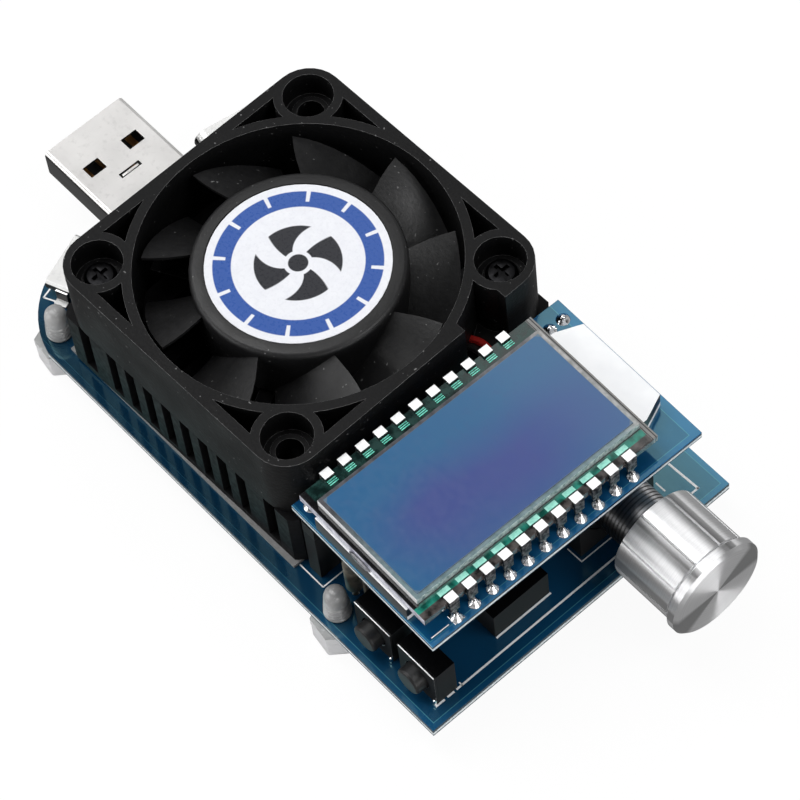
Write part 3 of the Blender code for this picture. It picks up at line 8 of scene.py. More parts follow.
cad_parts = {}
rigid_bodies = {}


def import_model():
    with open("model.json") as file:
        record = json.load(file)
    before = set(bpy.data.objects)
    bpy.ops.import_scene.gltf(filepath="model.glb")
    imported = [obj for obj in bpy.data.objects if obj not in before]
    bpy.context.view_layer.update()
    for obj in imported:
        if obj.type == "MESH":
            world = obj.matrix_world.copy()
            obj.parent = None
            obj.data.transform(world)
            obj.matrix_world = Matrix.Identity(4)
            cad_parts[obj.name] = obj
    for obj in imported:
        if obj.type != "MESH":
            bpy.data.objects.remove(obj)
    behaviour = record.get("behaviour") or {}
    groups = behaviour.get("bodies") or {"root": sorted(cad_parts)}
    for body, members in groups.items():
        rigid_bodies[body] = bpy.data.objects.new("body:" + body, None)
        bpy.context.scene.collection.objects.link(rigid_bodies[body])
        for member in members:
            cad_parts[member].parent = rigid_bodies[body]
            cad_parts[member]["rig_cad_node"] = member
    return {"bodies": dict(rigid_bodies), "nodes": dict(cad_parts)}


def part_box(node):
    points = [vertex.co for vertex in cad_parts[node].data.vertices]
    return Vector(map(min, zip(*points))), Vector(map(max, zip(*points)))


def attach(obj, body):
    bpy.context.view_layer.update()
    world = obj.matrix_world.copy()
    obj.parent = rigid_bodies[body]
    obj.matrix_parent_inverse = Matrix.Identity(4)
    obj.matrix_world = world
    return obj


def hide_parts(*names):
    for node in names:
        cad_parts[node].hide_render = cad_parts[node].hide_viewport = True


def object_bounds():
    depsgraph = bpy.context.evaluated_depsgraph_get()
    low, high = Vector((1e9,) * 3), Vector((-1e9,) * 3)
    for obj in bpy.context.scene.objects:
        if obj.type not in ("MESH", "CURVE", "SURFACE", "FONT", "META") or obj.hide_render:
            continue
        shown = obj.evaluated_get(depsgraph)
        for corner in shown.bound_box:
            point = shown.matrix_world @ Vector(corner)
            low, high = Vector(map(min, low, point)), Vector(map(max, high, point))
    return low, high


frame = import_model()
cad_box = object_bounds()
nodes = frame["nodes"]
MM = 0.001
WELD = 1e-6

for spare in list(bpy.data.objects):
    if spare.name not in nodes and spare not in frame["bodies"].values():
        bpy.data.objects.remove(spare, do_unlink=True)

# Places read from the frame
label_low, label_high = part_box("fan_label")
board_low, board_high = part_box("main_board")
knob_low, knob_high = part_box("knob")
bushing_low, bushing_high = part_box("pot_bushing")
HUB = Vector(((label_low.x + label_high.x) / 2, (label_low.y + label_high.y) / 2, board_high.z))
KNOB_AXIS = Vector((0.0, (knob_low.y + knob_high.y) / 2, (knob_low.z + knob_high.z) / 2))

# Turns of the fan and the display over the board, in degrees
FAN_TURN = 1.29
DISPLAY_TURN = -1.04

# Display, in millimetres from the fan's centre and the board's top
DISPLAY_X = (20.9, 44.5)
DISPLAY_Y = (-18.95, 19.98)
DISPLAY_Z = (12.9, 13.9)
DISPLAY_MID = 32.59
CLIP_FIRST = -14.65
CLIP_PITCH = 2.54
CLIP_COUNT = 11
CLIP_PLATE = 10.55
CLIP_METAL = 0.3
CLIP_WIDTH = 1.3
CLIP_REACH = 0.8
CLIP_LOW = 15.8
CLIP_TOP = 17.7
CLIP_LEG = 0.38
CLIP_TAIL = 12.1
CLIP_NECK = 0.45
CLIP_TAPER = 0.06
JOINT_X = DISPLAY_MID + CLIP_PLATE + 0.33
ROW_STEPS = [(0.0, CLIP_PITCH * number, 0.0) for number in range(1, CLIP_COUNT)]
GLASS_TOP = 17.3

# Nylon feet in millimetres: the stud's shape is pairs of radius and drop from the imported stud's top
HEX_RADIUS = 3.3
HEX_TURN = 21.5
HEX_DROP = 2.5
STUD_LIFT = 1.35
STUD_SHAPE = (
    (1.42, 3.45), (1.64, 3.25), (1.63, 3.05), (1.47, 2.85), (1.6, 2.65), (1.59, 2.45), (1.43, 2.25),
    (1.56, 2.05), (1.54, 1.85), (1.39, 1.65), (1.5, 1.45), (1.48, 1.25), (1.34, 1.05), (1.42, 0.85),
    (1.4, 0.4), (1.34, -0.1), (1.22, -0.6), (0.96, -1.0), (0.62, -1.2), (0.3, -1.28), (0.0, -1.3),
)

# Solder mound: shares of its radius and of its height
SOLDER_SHAPE = ((1.0, 0.0), (0.93, 0.14), (0.7, 0.34), (0.46, 0.6), (0.3, 0.88), (0.0, 1.0))

# Knob: its grooves, and the darker bands round it, which are painted reflections, by middle and half width in
# degrees and depth
FLUTES = 10
KNOB_PAINTED_REFLECTIONS = ((65.0, 6.0, 0.7), (111.6, 5.6, 0.85), (172.0, 10.0, 0.65), (-162.0, 10.0, 0.75),
              (-105.0, 9.0, 0.8), (-60.0, 8.0, 0.75), (-10.0, 9.0, 0.8))

# Other places and turns
POUR_GAP = 0.7
LABEL_TURN = 12.0
ROUND_SOCKET_SHIFT = (-0.85 * MM, -0.8 * MM, 0.0)
SWITCH_PITCH = 7.2


# Modelling by hand

def alone(thing):
    """Lets all pieces go and picks one as the active piece."""
    bpy.ops.object.select_all(action="DESELECT")
    thing.select_set(True)
    bpy.context.view_layer.objects.active = thing
    return thing


def settle(thing):
    """Writes a piece's place, turn and scale into its points."""
    alone(thing)
    bpy.ops.object.transform_apply(location=True, rotation=True, scale=True)
    return thing


def spot(x, y, z=0.0, turn=0.0):
    """Place of a point given in millimetres from the fan's centre, its layout swung about that centre."""
    swing = math.radians(turn)
    return HUB + MM * Vector((x * math.cos(swing) - y * math.sin(swing),
                              x * math.sin(swing) + y * math.cos(swing), z))


def turned_about(thing, centre, turn):
    """Turns a piece about an upright line through a place."""
    about = Matrix.Rotation(math.radians(turn), 4, "Z")
    thing.matrix_world = Matrix.Translation(centre) @ about @ Matrix.Translation(-centre) @ thing.matrix_world
    return settle(thing)


def on_display(thing):
    """Swings a finished piece about the fan's centre, as the display is swung."""
    return turned_about(thing, HUB, DISPLAY_TURN)


def fresh(name, kind, **settings):
    """A new piece from one of the primitive shapes, with all others let go first."""
    bpy.ops.object.select_all(action="DESELECT")
    getattr(bpy.ops.mesh, f"primitive_{kind}_add")(**settings)
    made = bpy.context.object
    made.name = name
    return made


def block(name, x_span, y_span, z_span):
    """A box between three pairs of millimetres, seen from the fan's centre and the board's top."""
    spans = (x_span, y_span, z_span)
    middle = spot(*(sum(span) / 2 for span in spans))
    made = fresh(name, "cube", size=1, location=middle)
    made.scale = [MM * (span[1] - span[0]) for span in spans]
    return settle(made)


def rod(name, centre, radius, length, sides):
    """An upright prism or rod."""
    return settle(fresh(name, "cylinder", vertices=sides, radius=radius, depth=length, location=centre))


def dome(name, centre, size, rows, sides):
    """A round body stretched to a size."""
    made = fresh(name, "uv_sphere", segments=sides, ring_count=rows, radius=0.5, location=centre)
    made.scale = size
    return settle(made)


def choose(thing, wanted, kind="FACE"):
    """Opens a piece in edit mode with the faces or points picked where wanted says yes."""
    alone(thing)
    bpy.ops.object.mode_set(mode="EDIT")
    bpy.ops.mesh.select_mode(type=kind)
    bpy.ops.mesh.select_all(action="DESELECT")
    skin = bmesh.from_edit_mesh(thing.data)
    skin.normal_update()
    items = skin.faces if kind == "FACE" else skin.verts
    for item in [item for item in items if wanted(item)]:
        item.select_set(True)
    bmesh.update_edit_mesh(thing.data)


def open_all(thing):
    """Opens a piece in edit mode with everything picked."""
    alone(thing)
    bpy.ops.object.mode_set(mode="EDIT")
    bpy.ops.mesh.select_all(action="SELECT")


def close():
    """Leaves edit mode."""
    bpy.ops.object.mode_set(mode="OBJECT")


def close_outward():
    """Turns all picked faces outward and leaves edit mode."""
    bpy.ops.mesh.normals_make_consistent(inside=False)
    close()


def extrude(way):
    bpy.ops.mesh.extrude_region_move(TRANSFORM_OT_translate={"value": tuple(way)})


def push(*steps):
    """Draws the picked faces out by one step in millimetres after the other."""
    for step in steps:
        extrude(MM * value for value in step)


def applied(thing, kind, **settings):
    """Adds a modifier and applies it at once."""
    step = thing.modifiers.new("step", kind)
    for label, value in settings.items():
        setattr(step, label, value)
    alone(thing)
    bpy.ops.object.modifier_apply(modifier=step.name)
    return thing


def smooth(thing, angle=35):
    alone(thing)
    bpy.ops.object.shade_smooth_by_angle(angle=math.radians(angle))
    return thing


def eased(thing, width, segments=2):
    """Rounds the edges a little and shades the piece smooth between them."""
    applied(thing, "BEVEL", width=width * MM, segments=segments, limit_method="ANGLE",
            angle_limit=math.radians(30), use_clamp_overlap=True)
    smooth(thing)
    return applied(thing, "WEIGHTED_NORMAL", keep_sharp=True)


def lathe(name, profile, axis, centre, steps):
    """Spins a chain of (radius, height) points, in metres, about an axis through the centre."""
    level, upright = Vector((1, 0, 0)), Vector((0, 0, 1))
    along, out = (level, upright) if axis == "X" else (upright, level)
    centre = Vector(centre)
    places = [centre + out * radius + along * height for radius, height in profile]
    made = settle(fresh(name, "plane", size=MM, location=places[0]))
    choose(made, lambda point: True, "VERT")
    bpy.ops.mesh.merge(type="CENTER")
    for near, far in zip(places, places[1:]):
        extrude(far - near)
    bpy.ops.mesh.select_all(action="SELECT")
    bpy.ops.mesh.spin(steps=steps, angle=2 * math.pi, center=tuple(centre), axis=tuple(along))
    bpy.ops.mesh.select_all(action="SELECT")
    bpy.ops.mesh.remove_doubles(threshold=WELD)
    close_outward()
    return made


def copy_of(node, name):
    """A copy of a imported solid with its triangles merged, ready for soft edges."""
    alone(nodes[node])
    bpy.ops.object.duplicate()
    made = bpy.context.object
    made.name = name
    del made["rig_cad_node"]
    open_all(made)
    bpy.ops.mesh.remove_doubles(threshold=WELD)
    bpy.ops.mesh.customdata_custom_splitnormals_clear()
    bpy.ops.mesh.dissolve_limited(angle_limit=math.radians(0.5))
    close()
    return made


def repeats(first, places):
    """Copies a piece to each offset in millimetres, each copy with its own mesh."""
    made = [first]
    stem = first.name.rsplit("_", 1)[0]
    for number, place in enumerate(places, 2):
        alone(first)
        bpy.ops.object.duplicate()
        other = bpy.context.object
        other.name = f"{stem}_{number}"
        other.location = MM * Vector(place)
        made.append(settle(other))
    return made


def dress(thing, finish):
    """Gives all faces of a piece one finish."""
    mesh = thing.data
    mesh.materials.clear()
    mesh.materials.append(finish)
    for face in mesh.polygons:
        face.material_index = 0


def fit(thing, finish, node=None, body="board_unit"):
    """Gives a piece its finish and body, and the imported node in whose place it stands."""
    dress(thing, finish)
    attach(thing, body)
    if node:
        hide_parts(node)
    return thing


# Finishes

def grey(value):
    return (value, value, value)


def shaded(colour, share):
    """The same colour at a share of its brightness."""
    return tuple(value * share for value in colour)


class Nodes:
    """A node tree with short ways to add and join its nodes."""

    def __init__(self, owner):
        owner.use_nodes = True
        self.tree = owner.node_tree

    def add(self, kind, **settings):
        node = self.tree.nodes.new("ShaderNode" + kind)
        for label, value in settings.items():
            setattr(node, label, value)
        return node

    def feed(self, socket, source):
        if isinstance(source, bpy.types.NodeSocket):
            self.tree.links.new(source, socket)
        else:
            socket.default_value = source

    def calc(self, operation, first, second=0.0):
        node = self.add("Math", operation=operation)
        self.feed(node.inputs[0], first)
        self.feed(node.inputs[1], second)
        return node.outputs[0]

    def plus(self, first, second):
        return self.calc("ADD", first, second)

    def less(self, first, second):
        return self.calc("SUBTRACT", first, second)

    def times(self, first, second):
        return self.calc("MULTIPLY", first, second)

    def most(self, first, second):
        return self.calc("MAXIMUM", first, second)

    def least(self, first, second):
        return self.calc("MINIMUM", first, second)

    def blend(self, factor, first, second):
        node = self.add("Mix")
        for index, source in ((0, factor), (2, first), (3, second)):
            self.feed(node.inputs[index], source)
        return node.outputs[0]

    def split(self, source):
        node = self.add("SeparateXYZ")
        self.feed(node.inputs[0], source)
        return node.outputs

    def level(self, source, low, high, to_low=0.0, to_high=1.0):
        """Stretches one span of values to another and stops at its ends."""
        node = self.add("MapRange", clamp=True)
        for label, value in (("Value", source), ("From Min", low), ("From Max", high), ("To Min", to_low),
                             ("To Max", to_high)):
            self.feed(node.inputs[label], value)
        return node.outputs[0]


class Finish(Nodes):
    """One finish: a principled shader and the nodes that feed it, on Object coordinates in metres."""

    def __init__(self, name, colour, rough, metal=0.0, **sockets):
        self.material = bpy.data.materials.new(name)
        super().__init__(self.material)
        self.material.diffuse_color = (*colour, 1.0)
        self.shader = self.tree.nodes["Principled BSDF"]
        self.to("Base Color", (*colour, 1.0))
        self.to("Roughness", rough)
        self.to("Metallic", metal)
        for label, value in sockets.items():
            self.to(label.replace("_", " "), value)
        self.place = self.add("TexCoord").outputs["Object"]

    def to(self, label, source):
        self.feed(self.shader.inputs[label], source)

    def distance(self, first, second):
        return self.calc("SQRT", self.plus(self.calc("POWER", first, 2.0), self.calc("POWER", second, 2.0)))

    def laid(self, centre, turn=0.0, stretch=None):
        """Object coordinates seen from a centre, swung back by a turn in degrees and stretched."""
        node = self.add("Mapping", vector_type="TEXTURE")
        self.feed(node.inputs["Vector"], self.place)
        node.inputs["Location"].default_value = centre
        node.inputs["Rotation"].default_value = (0.0, 0.0, math.radians(turn))
        if stretch is None:
            return node.outputs[0]
        pull = self.add("VectorMath", operation="MULTIPLY")
        self.feed(pull.inputs[0], node.outputs[0])
        pull.inputs[1].default_value = stretch
        return pull.outputs[0]

    def plan(self, turn):
        """Both level coordinates from the fan's centre, with a turn in degrees taken out."""
        return tuple(self.split(self.laid(HUB, turn)))[:2]

    def noise(self, scale, detail=2.0, source=None):
        node = self.add("TexNoise")
        self.feed(node.inputs["Vector"], source or self.place)
        node.inputs["Scale"].default_value = scale
        node.inputs["Detail"].default_value = detail
        return node.outputs["Fac"]

    def patches(self, scale, detail, low, high, to_low=0.0, to_high=1.0):
        """Noise with one span of its values stretched to another."""
        return self.level(self.noise(scale, detail), low, high, to_low, to_high)

    def reach(self, source, low, high, to_low=0.0, to_high=1.0):
        """The same as level, for a span in millimetres."""
        return self.level(source, low * MM, high * MM, to_low, to_high)

    def mix(self, factor, first, second):
        node = self.add("Mix", data_type="RGBA")
        self.feed(node.inputs[0], factor)
        for index, colour in ((6, first), (7, second)):
            self.feed(node.inputs[index], (*colour, 1.0) if isinstance(colour, tuple) else colour)
        return node.outputs[2]

    def relief(self, source, depth):
        """Unevenness of the surface, its depth in millimetres."""
        node = self.add("Bump")
        node.inputs["Strength"].default_value = 1.0
        node.inputs["Distance"].default_value = depth * MM
        self.feed(node.inputs["Height"], source)
        self.to("Normal", node.outputs[0])

    def paint(self, factor, first, second):
        self.to("Base Color", self.mix(factor, first, second))

    def gloss(self, source, low, high):
        """Roughness that wanders between two values."""
        self.to("Roughness", self.level(source, 0.3, 0.7, low, high))

    def near(self, source, value, width):
        """One where the source is within a width of a value, and zero elsewhere."""
        gap = self.calc("ABSOLUTE", self.less(source, value))
        return self.level(gap, width * 0.6, width, 1.0, 0.0)

    def facing(self, axis, sign=1.0):
        """How far each face looks along an axis, from minus one to one."""
        normal = self.split(self.add("NewGeometry").outputs["True Normal"])
        return self.times(normal[axis], sign)

    def upright(self):
        """One on faces that look sideways, zero on tops and undersides."""
        return self.level(self.calc("ABSOLUTE", self.facing("Z")), 0.5, 0.6, 1.0, 0.0)

    def edges(self):
        """One on narrow eased edges between a top and a wall."""
        height = self.facing("Z")
        return self.times(self.level(height, 0.12, 0.25), self.level(height, 0.9, 0.98, 1.0, 0.0))


def board_blue(name, x_edge, y_edge, top, depth, turn, shade, painted_sheen_lift=1.0):
    """Clear blue lacquer with a fine line where the copper pour ends, and glass fibre in the board's edge.

    Edges, top and depth are in millimetres. The last argument brightens the board beyond the display's far
    corner as a painted reflection, and the strip beside the fan is darkened as a painted shadow.
    """
    made = Finish(name, shade, 0.12, 0.0, Coat_Weight=0.35, Coat_Roughness=0.1, Specular_IOR_Level=1.0,
                  Specular_Tint=(0.45, 1.0, 0.95, 1.0))
    cloud = made.noise(90.0, 3.0)
    colour = made.mix(made.level(cloud, 0.35, 0.7), shaded(shade, 0.8), shade)
    colour = made.mix(made.patches(2500.0, 2.0, 0.62, 0.8, 0.0, 0.2), colour, shaded(shade, 1.6))
    x, y = made.plan(turn)
    across = made.less(made.calc("ABSOLUTE", y), (y_edge - POUR_GAP) * MM)
    beyond = made.less(x, (x_edge - POUR_GAP) * MM)
    outside = made.most(across, beyond)
    colour = made.mix(made.reach(outside, 0.0, 0.04), colour, shaded(shade, 1.3))
    # Painted reflection: the board beyond the display's far corner is brightened.
    painted_sheen_corner = made.times(made.reach(y, 9.0, 17.0), made.reach(x, 30.0, 40.0))
    lift = made.add("VectorMath", operation="SCALE")
    made.feed(lift.inputs[0], colour)
    made.feed(lift.inputs["Scale"], made.level(painted_sheen_corner, 0.0, 1.0, 1.0, painted_sheen_lift))
    pour_line = made.times(made.near(outside, 0.0, 0.06 * MM), 0.6)
    colour = made.mix(pour_line, lift.outputs[0], (0.06, 0.24, 0.3))
    # Painted shadow: the strip beside the fan is darkened towards the fan.
    beside = made.times(made.reach(y, -21.0, -19.0, 1.0, 0.0), made.reach(x, 16.0, 30.0, 1.0, 0.0))
    colour = made.mix(made.times(beside, 0.8), colour, shaded(shade, 0.35))
    low = made.less(HUB.z + top * MM, made.split(made.place)["Z"])
    fibre = made.mix(made.patches(1800.0, 3.0, 0.3, 0.7), (0.5, 0.55, 0.58), (0.78, 0.8, 0.8))
    stripe = made.near(low, 0.62 * depth * MM, 0.24 * depth * MM)
    edge = made.mix(stripe, shaded(shade, 0.35), fibre)
    made.paint(made.upright(), colour, edge)
    made.gloss(cloud, 0.1, 0.15)
    made.relief(made.noise(700.0), 0.008)
    return made.material


def moulded(name, colour, rough, grain, depth, specular=0.4, wear=0.0):
    """Moulded plastic: a fine erosion texture, a little wear in its gloss, and paler eased edges that are
    partly wear and partly painted highlight.
    """
    made = Finish(name, colour, rough, Specular_IOR_Level=specular)
    grains = made.noise(grain, 3.0)
    made.gloss(made.noise(160.0), rough * 0.86, rough * 1.14)
    pale = tuple(min(value * 1.35 + 0.002, 1.0) for value in colour)
    skin = made.mix(made.level(grains, 0.45, 0.75, 0.0, 0.6), colour, pale)
    if wear:
        # Paler eased edges: partly wear and partly painted highlight.
        rubbed_and_highlit = made.times(made.edges(), made.patches(1300.0, 3.0, 0.3, 0.6, 0.25, 1.0))
        skin = made.mix(rubbed_and_highlit, skin, tuple(value + wear for value in colour))
        dust = made.times(made.patches(2100.0, 1.0, 0.74, 0.78), 0.5)
        skin = made.mix(dust, skin, grey(0.25))
    made.to("Base Color", skin)
    made.relief(grains, depth)
    return made.material


def drawn_steel(name, colour, rough, stretch, scratch):
    """Formed sheet metal with fine rolling marks along one direction, its walls painted dark as painted
    shade.
    """
    made = Finish(name, colour, rough, 0.75)
    lines = made.noise(900.0, 4.0, made.laid(HUB, 0.0, stretch))
    made.gloss(lines, rough * 0.93, rough * 1.08)
    skin = made.mix(made.patches(220.0, 3.0, 0.35, 0.7), shaded(colour, 0.88), colour)
    skin = made.mix(made.patches(1500.0, 3.0, 0.55, 0.75, 0.0, 0.35), skin, shaded(colour, 0.6))
    # Painted shade: the walls get a small share of the top's colour and full metal, so the partly diffuse top
    # reads paler.
    skin = made.mix(made.upright(), skin, shaded(colour, 0.07))
    made.to("Base Color", skin)
    made.to("Metallic", made.level(made.upright(), 0.0, 1.0, 0.55, 1.0))
    made.relief(lines, scratch)
    return made.material


def anodised(name, colour, rough):
    """Black anodised extrusion with faint die lines along its fins."""
    made = Finish(name, colour, rough, 0.0, Specular_IOR_Level=0.06)
    lines = made.noise(1500.0, 3.0, made.laid(HUB, FAN_TURN, (1.0, 0.04, 1.0)))
    dust = made.patches(1400.0, 4.0, 0.55, 0.8, 0.0, 0.5)
    made.paint(dust, colour, shaded(colour, 2.4))
    made.gloss(lines, rough * 0.85, rough * 1.2)
    made.relief(lines, 0.006)
    return made.material


def turned_aluminium(name, colour, rough):
    """Lathe-cut aluminium: fine rings, and darker bands round its side and over its face that are painted
    reflections.
    """
    made = Finish(name, colour, rough, 1.0, Anisotropic=0.93, Anisotropic_Rotation=0.25)
    tangent = made.add("Tangent", direction_type="RADIAL", axis="X")
    x, y, z = made.split(made.laid(KNOB_AXIS))
    radius = made.distance(y, z)
    ring_place = made.add("CombineXYZ")
    made.feed(ring_place.inputs[0], x)
    made.feed(ring_place.inputs[1], radius)
    rings = made.noise(8200.0, 2.0, ring_place.outputs[0])
    skin = made.mix(made.level(rings, 0.3, 0.7), shaded(colour, 0.9), colour)
    angle = made.calc("ARCTAN2", z, y)
    side = made.level(made.calc("ABSOLUTE", made.facing("X")), 0.5, 0.6, 1.0, 0.0)
    # Painted reflections: dark bands round the side and dark sectors over the face.
    dull = 0.0
    for middle, half, depth in KNOB_PAINTED_REFLECTIONS:
        band = made.near(angle, math.radians(middle), math.radians(half))
        dull = made.most(dull, made.times(made.times(band, depth), side))
    half_turns = made.calc("PINGPONG", made.plus(angle, math.radians(162.5)), math.pi / 2)
    wedge = made.near(half_turns, 0.0, math.radians(26.0))
    dull = made.most(dull, made.times(made.times(wedge, 0.8), made.less(1.0, side)))
    made.paint(dull, skin, shaded(colour, 0.3))
    made.relief(rings, 0.0015)
    made.to("Tangent", tangent.outputs[0])
    return made.material


def plain_metal(name, colour, rough, grain, depth):
    """Small metal parts: plating or solder with fine unevenness."""
    made = Finish(name, colour, rough, 1.0)
    grains = made.noise(grain, 3.0)
    made.gloss(grains, rough * 0.75, rough * 1.3)
    made.paint(made.level(grains, 0.35, 0.7), shaded(colour, 0.85), colour)
    made.relief(grains, depth)
    return made.material


def thread_steel(name, near, far):
    """Dark plated steel of the bushing, with painted shade on its near side."""
    made = Finish(name, far, 0.34, 1.0)
    grains = made.noise(3000.0, 3.0)
    # Painted shade: darker towards the near side.
    painted_shade_side = made.less(made.split(made.place)["Y"], KNOB_AXIS.y)
    skin = made.mix(made.reach(painted_shade_side, -2.5, 1.0), near, far)
    made.paint(made.level(grains, 0.35, 0.7, 0.15, 0.0), skin, grey(0.01))
    made.relief(grains, 0.004)
    return made.material


def clip_finish():
    """Tinned strip with a painted highlight where it lies flat and painted shade on its standing plates."""
    made = Finish("clip_tinned", grey(0.9), 0.4, 1.0)
    grains = made.noise(2200.0, 3.0)
    # Painted highlight on the flat parts and painted shade on the plates, with more metal on the plates.
    flat = made.mix(made.level(grains, 0.35, 0.7), (0.82, 0.83, 0.84), (0.93, 0.94, 0.94))
    plate = made.mix(made.level(grains, 0.4, 0.62), grey(0.03), (0.36, 0.35, 0.34))
    made.paint(made.upright(), flat, plate)
    made.to("Metallic", made.level(made.upright(), 0.0, 1.0, 0.15, 1.0))
    made.gloss(grains, 0.28, 0.46)
    made.relief(grains, 0.003)
    return made.material


def nylon_finish():
    """Natural nylon, milky and slightly uneven, with the heads under the board painted paler as painted light
    from below.
    """
    made = Finish("nylon_natural", grey(0.5), 0.34, Coat_Weight=0.25, Coat_Roughness=0.15)
    skin = made.mix(made.patches(380.0, 3.0, 0.3, 0.7), grey(0.2), grey(0.36))
    skin = made.mix(made.patches(1700.0, 2.0, 0.6, 0.8, 0.0, 0.4), skin, grey(0.75))
    # Painted light: the heads below the board are paler.
    height = made.split(made.place)["Z"]
    below = made.level(height, HUB.z - 1.4 * MM, HUB.z - 1.2 * MM, 1.0, 0.0)
    skin = made.mix(below, skin, (0.6, 0.6, 0.61))
    made.to("Base Color", skin)
    made.relief(made.noise(1200.0), 0.03)
    return made.material


def rear_pane_finish():
    """Rear display glass: green at its marked ledge, dark elsewhere, with dull sealant by the near clips."""
    made = Finish("rear_glass", (0.003, 0.02, 0.017), 0.1, Coat_Weight=0.5, Coat_Roughness=0.05,
                  Specular_IOR_Level=0.35)
    x, y = made.plan(DISPLAY_TURN)
    cloud = made.patches(900.0, 3.0, 0.38, 0.62)
    dark = made.mix(cloud, (0.002, 0.01, 0.009), (0.006, 0.035, 0.03))
    green = made.mix(cloud, (0.003, 0.06, 0.045), (0.012, 0.22, 0.16))
    sealant = made.mix(cloud, grey(0.01), (0.075, 0.066, 0.063))
    colour = made.mix(made.reach(x, 41.1, 41.2), dark, green)
    colour = made.mix(made.reach(x, 42.02, 42.1), colour, sealant)
    near_ledge = made.times(made.reach(y, -17.72, -17.66, 1.0, 0.0), made.reach(x, 41.2, 41.3, 1.0, 0.0))
    colour = made.mix(near_ledge, colour, (0.004, 0.004, 0.005))
    lines = made.most(made.near(y, 14.18 * MM, 0.07 * MM), made.near(y, 14.62 * MM, 0.09 * MM))
    far = made.mix(lines, (0.17, 0.17, 0.165), (0.012, 0.012, 0.013))
    colour = made.mix(made.reach(y, 14.05, 14.1), colour, far)
    wall = made.mix(cloud, (0.2, 0.2, 0.26), (0.5, 0.5, 0.58))
    colour = made.mix(made.level(made.facing("Y", -1.0), 0.7, 0.8), colour, wall)
    made.to("Base Color", colour)
    made.gloss(made.noise(900.0), 0.06, 0.2)
    return made.material


def front_pane_finish():
    """Front display glass beyond its film: grey at the left, clearer at the right, and white at its near cut
    as a painted highlight.
    """
    made = Finish("front_glass", (0.13, 0.19, 0.2), 0.1, Coat_Weight=0.6, Coat_Roughness=0.05,
                  Specular_IOR_Level=0.4)
    x, y = made.plan(DISPLAY_TURN)
    cloud = made.patches(1100.0, 3.0, 0.35, 0.65)
    left = made.mix(cloud, (0.05, 0.05, 0.056), (0.095, 0.095, 0.105))
    right = made.mix(cloud, (0.12, 0.175, 0.19), (0.19, 0.255, 0.27))
    colour = made.mix(made.reach(x, 26.0, 38.0), left, right)
    far = made.mix(cloud, (0.22, 0.22, 0.21), (0.42, 0.41, 0.4))
    colour = made.mix(made.reach(y, 12.0, 14.4), colour, far)
    chips = made.patches(2300.0, 3.0, 0.35, 0.65)
    wall = made.mix(chips, (0.13, 0.19, 0.2), (0.45, 0.52, 0.52))
    colour = made.mix(made.upright(), colour, wall)
    # Painted highlight: the near cut is white.
    colour = made.mix(made.level(made.facing("Y", -1.0), 0.7, 0.8), colour, (0.84, 0.85, 0.86))
    made.to("Base Color", colour)
    made.gloss(made.noise(900.0), 0.06, 0.2)
    return made.material


def polariser_finish():
    """Blank display film: teal blue at the left and the near end, violet across the middle, partly the film's
    tint and partly painted reflection.
    """
    made = Finish("display_film", (0.045, 0.11, 0.26), 0.2, Coat_Weight=0.2, Coat_Roughness=0.06,
                  Specular_IOR_Level=0.3)
    x, y = made.plan(DISPLAY_TURN)
    drift = made.patches(70.0, 2.0, 0.3, 0.7, -1.6 * MM, 1.6 * MM)
    across = made.plus(x, drift)
    along = made.plus(y, drift)
    # Teal to violet: partly the film's tint and partly painted reflection.
    violet = made.times(made.reach(across, 27.2, 33.5), made.reach(along, -17.0, -9.5))
    violet = made.times(violet, made.reach(along, 2.0, 14.0, 1.0, 0.35))
    violet = made.times(violet, made.reach(across, 36.0, 41.0, 1.0, 0.5))
    teal = made.mix(made.reach(along, -17.0, 13.6), (0.024, 0.1, 0.22), (0.042, 0.116, 0.225))
    colour = made.mix(violet, teal, (0.05, 0.07, 0.215))
    strands = made.patches(900.0, 4.0, 0.56, 0.7, 0.0, 0.18)
    colour = made.mix(strands, colour, (0.05, 0.085, 0.2))
    left = made.less(x, 24.98 * MM)
    right = made.less(40.52 * MM, x)
    near = made.less(y, -17.28 * MM)
    far = made.less(13.58 * MM, y)
    sides = made.least(left, right)
    ends = made.least(near, far)
    corner = made.times(made.less(made.plus(sides, ends), 0.5 * MM), 0.7)
    margin = made.least(made.least(sides, ends), corner)
    edge = made.reach(margin, 0.0, 0.09, 0.6, 0.0)
    made.paint(edge, colour, (0.13, 0.17, 0.18))
    made.gloss(made.noise(1500.0), 0.16, 0.26)
    return made.material


